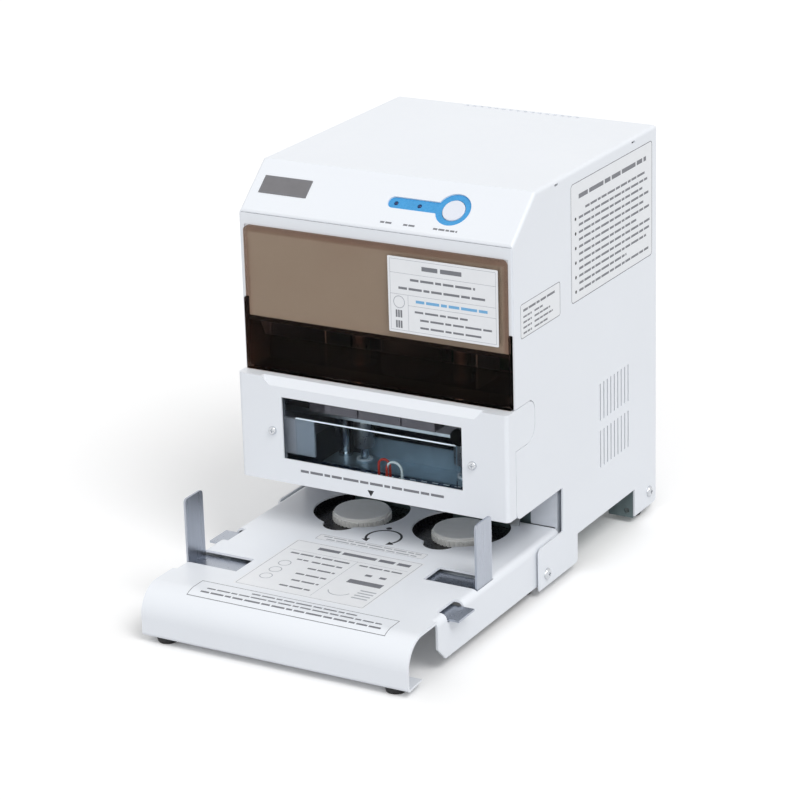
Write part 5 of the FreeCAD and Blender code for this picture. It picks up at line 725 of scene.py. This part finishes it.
def front_strip():
    """A clear strip label, laid over the start of the table's front bend."""
    under, over, weld = 0.01, 0.05, 0.001
    table = nodes_by_name["table_plate"].data
    corners = [vertex.co for vertex in table.vertices]
    tree = BVHTree.FromPolygons(corners, [polygon.vertices for polygon in table.polygons])

    def place(across, along, lift):
        return lip_place(tree, across, along, lift)

    def laid(name, bars):
        bm = bmesh.new()
        for (left, low), (right, _), (_, high), _ in bars:
            rows = max(1, math.ceil((high - low) / STRIP_STEP))
            for row in range(rows):
                start = low + (high - low) * row / rows
                end = low + (high - low) * (row + 1) / rows
                plate(bm, bar(left, start, right, end), place, under, over)
        bmesh.ops.remove_doubles(bm, verts=bm.verts, dist=weld * MM)
        link_mesh(name, bm, ink_grey, "chassis")

    laid("front_strip_border", border(*FRONT_STRIP, 0.5))
    laid("front_strip_rows", paragraph(((-30.0, 52.0), (-62.0, 72.0), (-64.0, 74.0)), -155.8, 5.0, 2.8))


def cover_marks():
    """The pointer under the window and the fine rule of short marks over it."""
    tip = [(-3.9, 77.7), (-1.3, 73.3), (1.3, 77.7)]
    ink("cover_pointer", [tip], cover_face, ink_black)
    ink("cover_rule", words(-57.0, 57.0, 81.2, 84.4), cover_face, ink_grey)


def bead(name, ends, width, height, mat, body):
    """A straight bead with a rounded top, between two points in millimetres."""
    start, end = (Vector(p) for p in ends)
    steps = 8
    bm = bmesh.new()
    outline = [(-width / 2, 0.0), (width / 2, 0.0)]
    for step in range(1, steps):
        angle = math.pi * step / steps
        outline.append((width / 2 * math.cos(angle), height * math.sin(angle)))
    rings = []
    for point in (start, end):
        rings.append([bm.verts.new((point + Vector((0.0, b, c))) * MM) for b, c in outline])
    bm.faces.new(rings[0][::-1])
    bm.faces.new(rings[1])
    count = len(outline)
    for i in range(count):
        j = (i + 1) % count
        bm.faces.new((rings[0][i], rings[0][j], rings[1][j], rings[1][i]))
    link_mesh(name, bm, mat, body)


def window_trim():
    """Painted light behind the window: a white bead as a painted highlight along the shield's upper edge,
    white rings as a painted highlight on the clamp's bushes, and white dashes on the deck as painted light
    where the lit table shows through.
    """
    ends = [(across, *SHIELD_EDGE) for across in (-SHIELD_HALF, SHIELD_HALF)]
    # a white bead: painted highlight for the lit upper edge of the clear shield
    bead("shield_edge", ends, width=1.4, height=0.8, mat=painted_highlight, body="chassis")
    for side, sign in (("left", -1), ("right", 1)):
        # rings on the clamp's bushes, white as a painted highlight
        ring = circle(sign * DRILL_ACROSS, DRILL_BACK, 5.9, 4.15, 48)
        sticker(f"clamp_bush_{side}", ring, clamp_face, painted_highlight, "clamp", 0.9)
    # white dashes along the deck's front: painted light where the lit table shows through
    marks = []
    pitch, slant, length, depth = 8.6, 0.45, 4.6, 1.6
    for step in range(16):
        left, low = -88.0 + pitch * step, -12.5 + slant * step
        marks.append(bar(left, low, left + length, low + depth))
    ink("deck_slot_light", marks, deck_face, painted_highlight)


def box_trim():
    """A black strip behind the chip box's panel where it meets its tray: painted shade in the seam."""
    sticker("box_seam_shade", bar(-100.6, 183.9, 100.6, 186.9), behind_box, painted_seam_shade, "chip_box")


def vent_shade_sheets():
    """A nearly black sheet behind the slots on each side, held by a raised rim: painted shade, so that the
    slots look dark inside.
    """
    shade_high, rim_high = 0.4, 0.9
    for side, sign in (("left", -1), ("right", 1)):
        face = Face((sign * SHADE_SHEET_SIDE, 0.0, 0.0), (0, -sign, 0), (0, 0, 1))
        near, far = sorted((-sign * SHADE_SHEET_FRONT, -sign * SHADE_SHEET_REAR))
        edges = (near, SHADE_SHEET_LOW, far, SHADE_SHEET_HIGH)
        bm = bmesh.new()
        plate(bm, rounded(*edges, 3.0), face.point, 0.0, shade_high)
        for outline in frame_ring(*edges, 3.0, 2.4):
            plate(bm, outline, face.point, shade_high, rim_high)
        link_mesh(f"vent_shade_{side}", bm, painted_vent_shade, "chassis")


def pressing_springs():
    """The clamp's springs, as a copy of their part that rides on the head; the part itself is hidden."""
    source = nodes_by_name["clamp_springs"]
    bm = bmesh.new()
    bm.from_mesh(source.data)
    bm.transform(source.matrix_world)
    springs = link_mesh("pressing_springs", bm, finishes["machined_steel"], "head")
    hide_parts("clamp_springs")
    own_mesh(springs)


slope_marks()
box_label()
side_labels()
table_marks()
front_strip()
cover_marks()
window_trim()
box_trim()
vent_shade_sheets()
pressing_springs()


# studio


# the floor's colour and the sky's strength for rays that aren't seen, and what the floor glows for the others
FLOOR_UNSEEN = (0.60, 0.61, 0.63)
FLOOR_GLOW = 0.06
FLOOR_HALF = 9.0
SKY_LEVEL = 0.64
# each lamp's name, where it stands as seen from the machine, its strength, and its spread in degrees
LAMPS = (
    ("key", (0.56, -0.28, 0.78), 1.20, 28.0),
    ("low_front", (0.22, -0.87, 0.44), 0.42, 45.0),
)


def seen_factor(tree):
    """One for rays that are seen, straight, in a gloss or through something clear, and zero for others."""
    path = tree.nodes.new("ShaderNodeLightPath")
    factor = path.outputs["Is Camera Ray"]
    for kind in ("Is Glossy Ray", "Is Transmission Ray"):
        either = tree.nodes.new("ShaderNodeMath")
        either.operation = "MAXIMUM"
        tree.links.new(factor, either.inputs[0])
        tree.links.new(path.outputs[kind], either.inputs[1])
        factor = either.outputs[0]
    return factor


def floor_material():
    """A white floor that keeps shadows; rays that aren't seen find it a little darker."""
    mat = bpy.data.materials.new("studio_floor")
    mat.use_nodes = True
    tree = mat.node_tree
    tree.nodes.remove(tree.nodes["Principled BSDF"])
    factor = seen_factor(tree)
    color = tree.nodes.new("ShaderNodeMix")
    color.data_type = "RGBA"
    color.inputs["A"].default_value = (*FLOOR_UNSEEN, 1.0)
    color.inputs["B"].default_value = (1.0, 1.0, 1.0, 1.0)
    tree.links.new(factor, color.inputs["Factor"])
    matte = tree.nodes.new("ShaderNodeBsdfDiffuse")
    tree.links.new(color.outputs["Result"], matte.inputs["Color"])
    fade = tree.nodes.new("ShaderNodeMath")
    fade.operation = "MULTIPLY"
    fade.inputs[1].default_value = FLOOR_GLOW
    tree.links.new(factor, fade.inputs[0])
    glow = tree.nodes.new("ShaderNodeEmission")
    tree.links.new(fade.outputs[0], glow.inputs["Strength"])
    both = tree.nodes.new("ShaderNodeAddShader")
    tree.links.new(matte.outputs["BSDF"], both.inputs[0])
    tree.links.new(glow.outputs["Emission"], both.inputs[1])
    tree.links.new(both.outputs["Shader"], tree.nodes["Material Output"].inputs["Surface"])
    return mat


def studio():
    """The floor, the sky and the lamps."""
    scene = bpy.context.scene
    scene.view_settings.view_transform = "Standard"
    bm = bmesh.new()
    bmesh.ops.create_grid(bm, x_segments=1, y_segments=1, size=FLOOR_HALF)
    mesh = bpy.data.meshes.new("studio_floor")
    bm.to_mesh(mesh)
    bm.free()
    mesh.materials.append(floor_material())
    floor = bpy.data.objects.new("studio_floor", mesh)
    scene.collection.objects.link(floor)

    world = bpy.data.worlds.new("studio_world")
    world.use_nodes = True
    scene.world = world
    tree = world.node_tree
    level = tree.nodes.new("ShaderNodeMapRange")
    level.inputs["To Min"].default_value = SKY_LEVEL
    level.inputs["To Max"].default_value = 1.0
    tree.links.new(seen_factor(tree), level.inputs["Value"])
    background = tree.nodes["Background"]
    tree.links.new(level.outputs["Result"], background.inputs["Strength"])
    background.inputs["Color"].default_value = (1.0, 1.0, 1.0, 1.0)

    for name, direction, strength, spread in LAMPS:
        lamp = bpy.data.lights.new(name, "SUN")
        lamp.energy = strength
        lamp.angle = math.radians(spread)
        obj = bpy.data.objects.new(name, lamp)
        obj.rotation_mode = "QUATERNION"
        obj.rotation_quaternion = Vector(direction).to_track_quat("Z", "Y")
        scene.collection.objects.link(obj)


CAMERA = {
    "azimuth": 30.063, "elevation": 20.081, "distance": 2076.98, "target": (0.036, 0.029, 120.021),
    "focal_px": 3008.41, "centre_px": (405.12, 410.89), "roll": -1.664, "frame_px": 800.0, "sensor": 36.0,
}


def camera():
    """The camera, standing where the photograph was taken from."""
    azimuth, elevation = math.radians(CAMERA["azimuth"]), math.radians(CAMERA["elevation"])
    flat = math.cos(elevation)
    back = Vector((math.sin(azimuth) * flat, -math.cos(azimuth) * flat, math.sin(elevation)))
    right = Vector((math.cos(azimuth), math.sin(azimuth), 0.0))
    up = back.cross(right)
    data = bpy.data.cameras.new("photo_camera")
    data.sensor_width = CAMERA["sensor"]
    data.lens = CAMERA["focal_px"] / CAMERA["frame_px"] * CAMERA["sensor"]
    half = CAMERA["frame_px"] / 2
    data.shift_x = (half - CAMERA["centre_px"][0]) / CAMERA["frame_px"]
    data.shift_y = (CAMERA["centre_px"][1] - half) / CAMERA["frame_px"]
    data.clip_start, data.clip_end = 0.05, 50.0
    obj = bpy.data.objects.new("photo_camera", data)
    roll = Matrix.Rotation(math.radians(CAMERA["roll"]), 4, "Z")
    stand = (Vector(CAMERA["target"]) + back * CAMERA["distance"]) * MM
    obj.matrix_world = Matrix.Translation(stand) @ Matrix((right, up, back)).transposed().to_4x4() @ roll
    bpy.context.scene.collection.objects.link(obj)
    bpy.context.scene.camera = obj


studio()
camera()
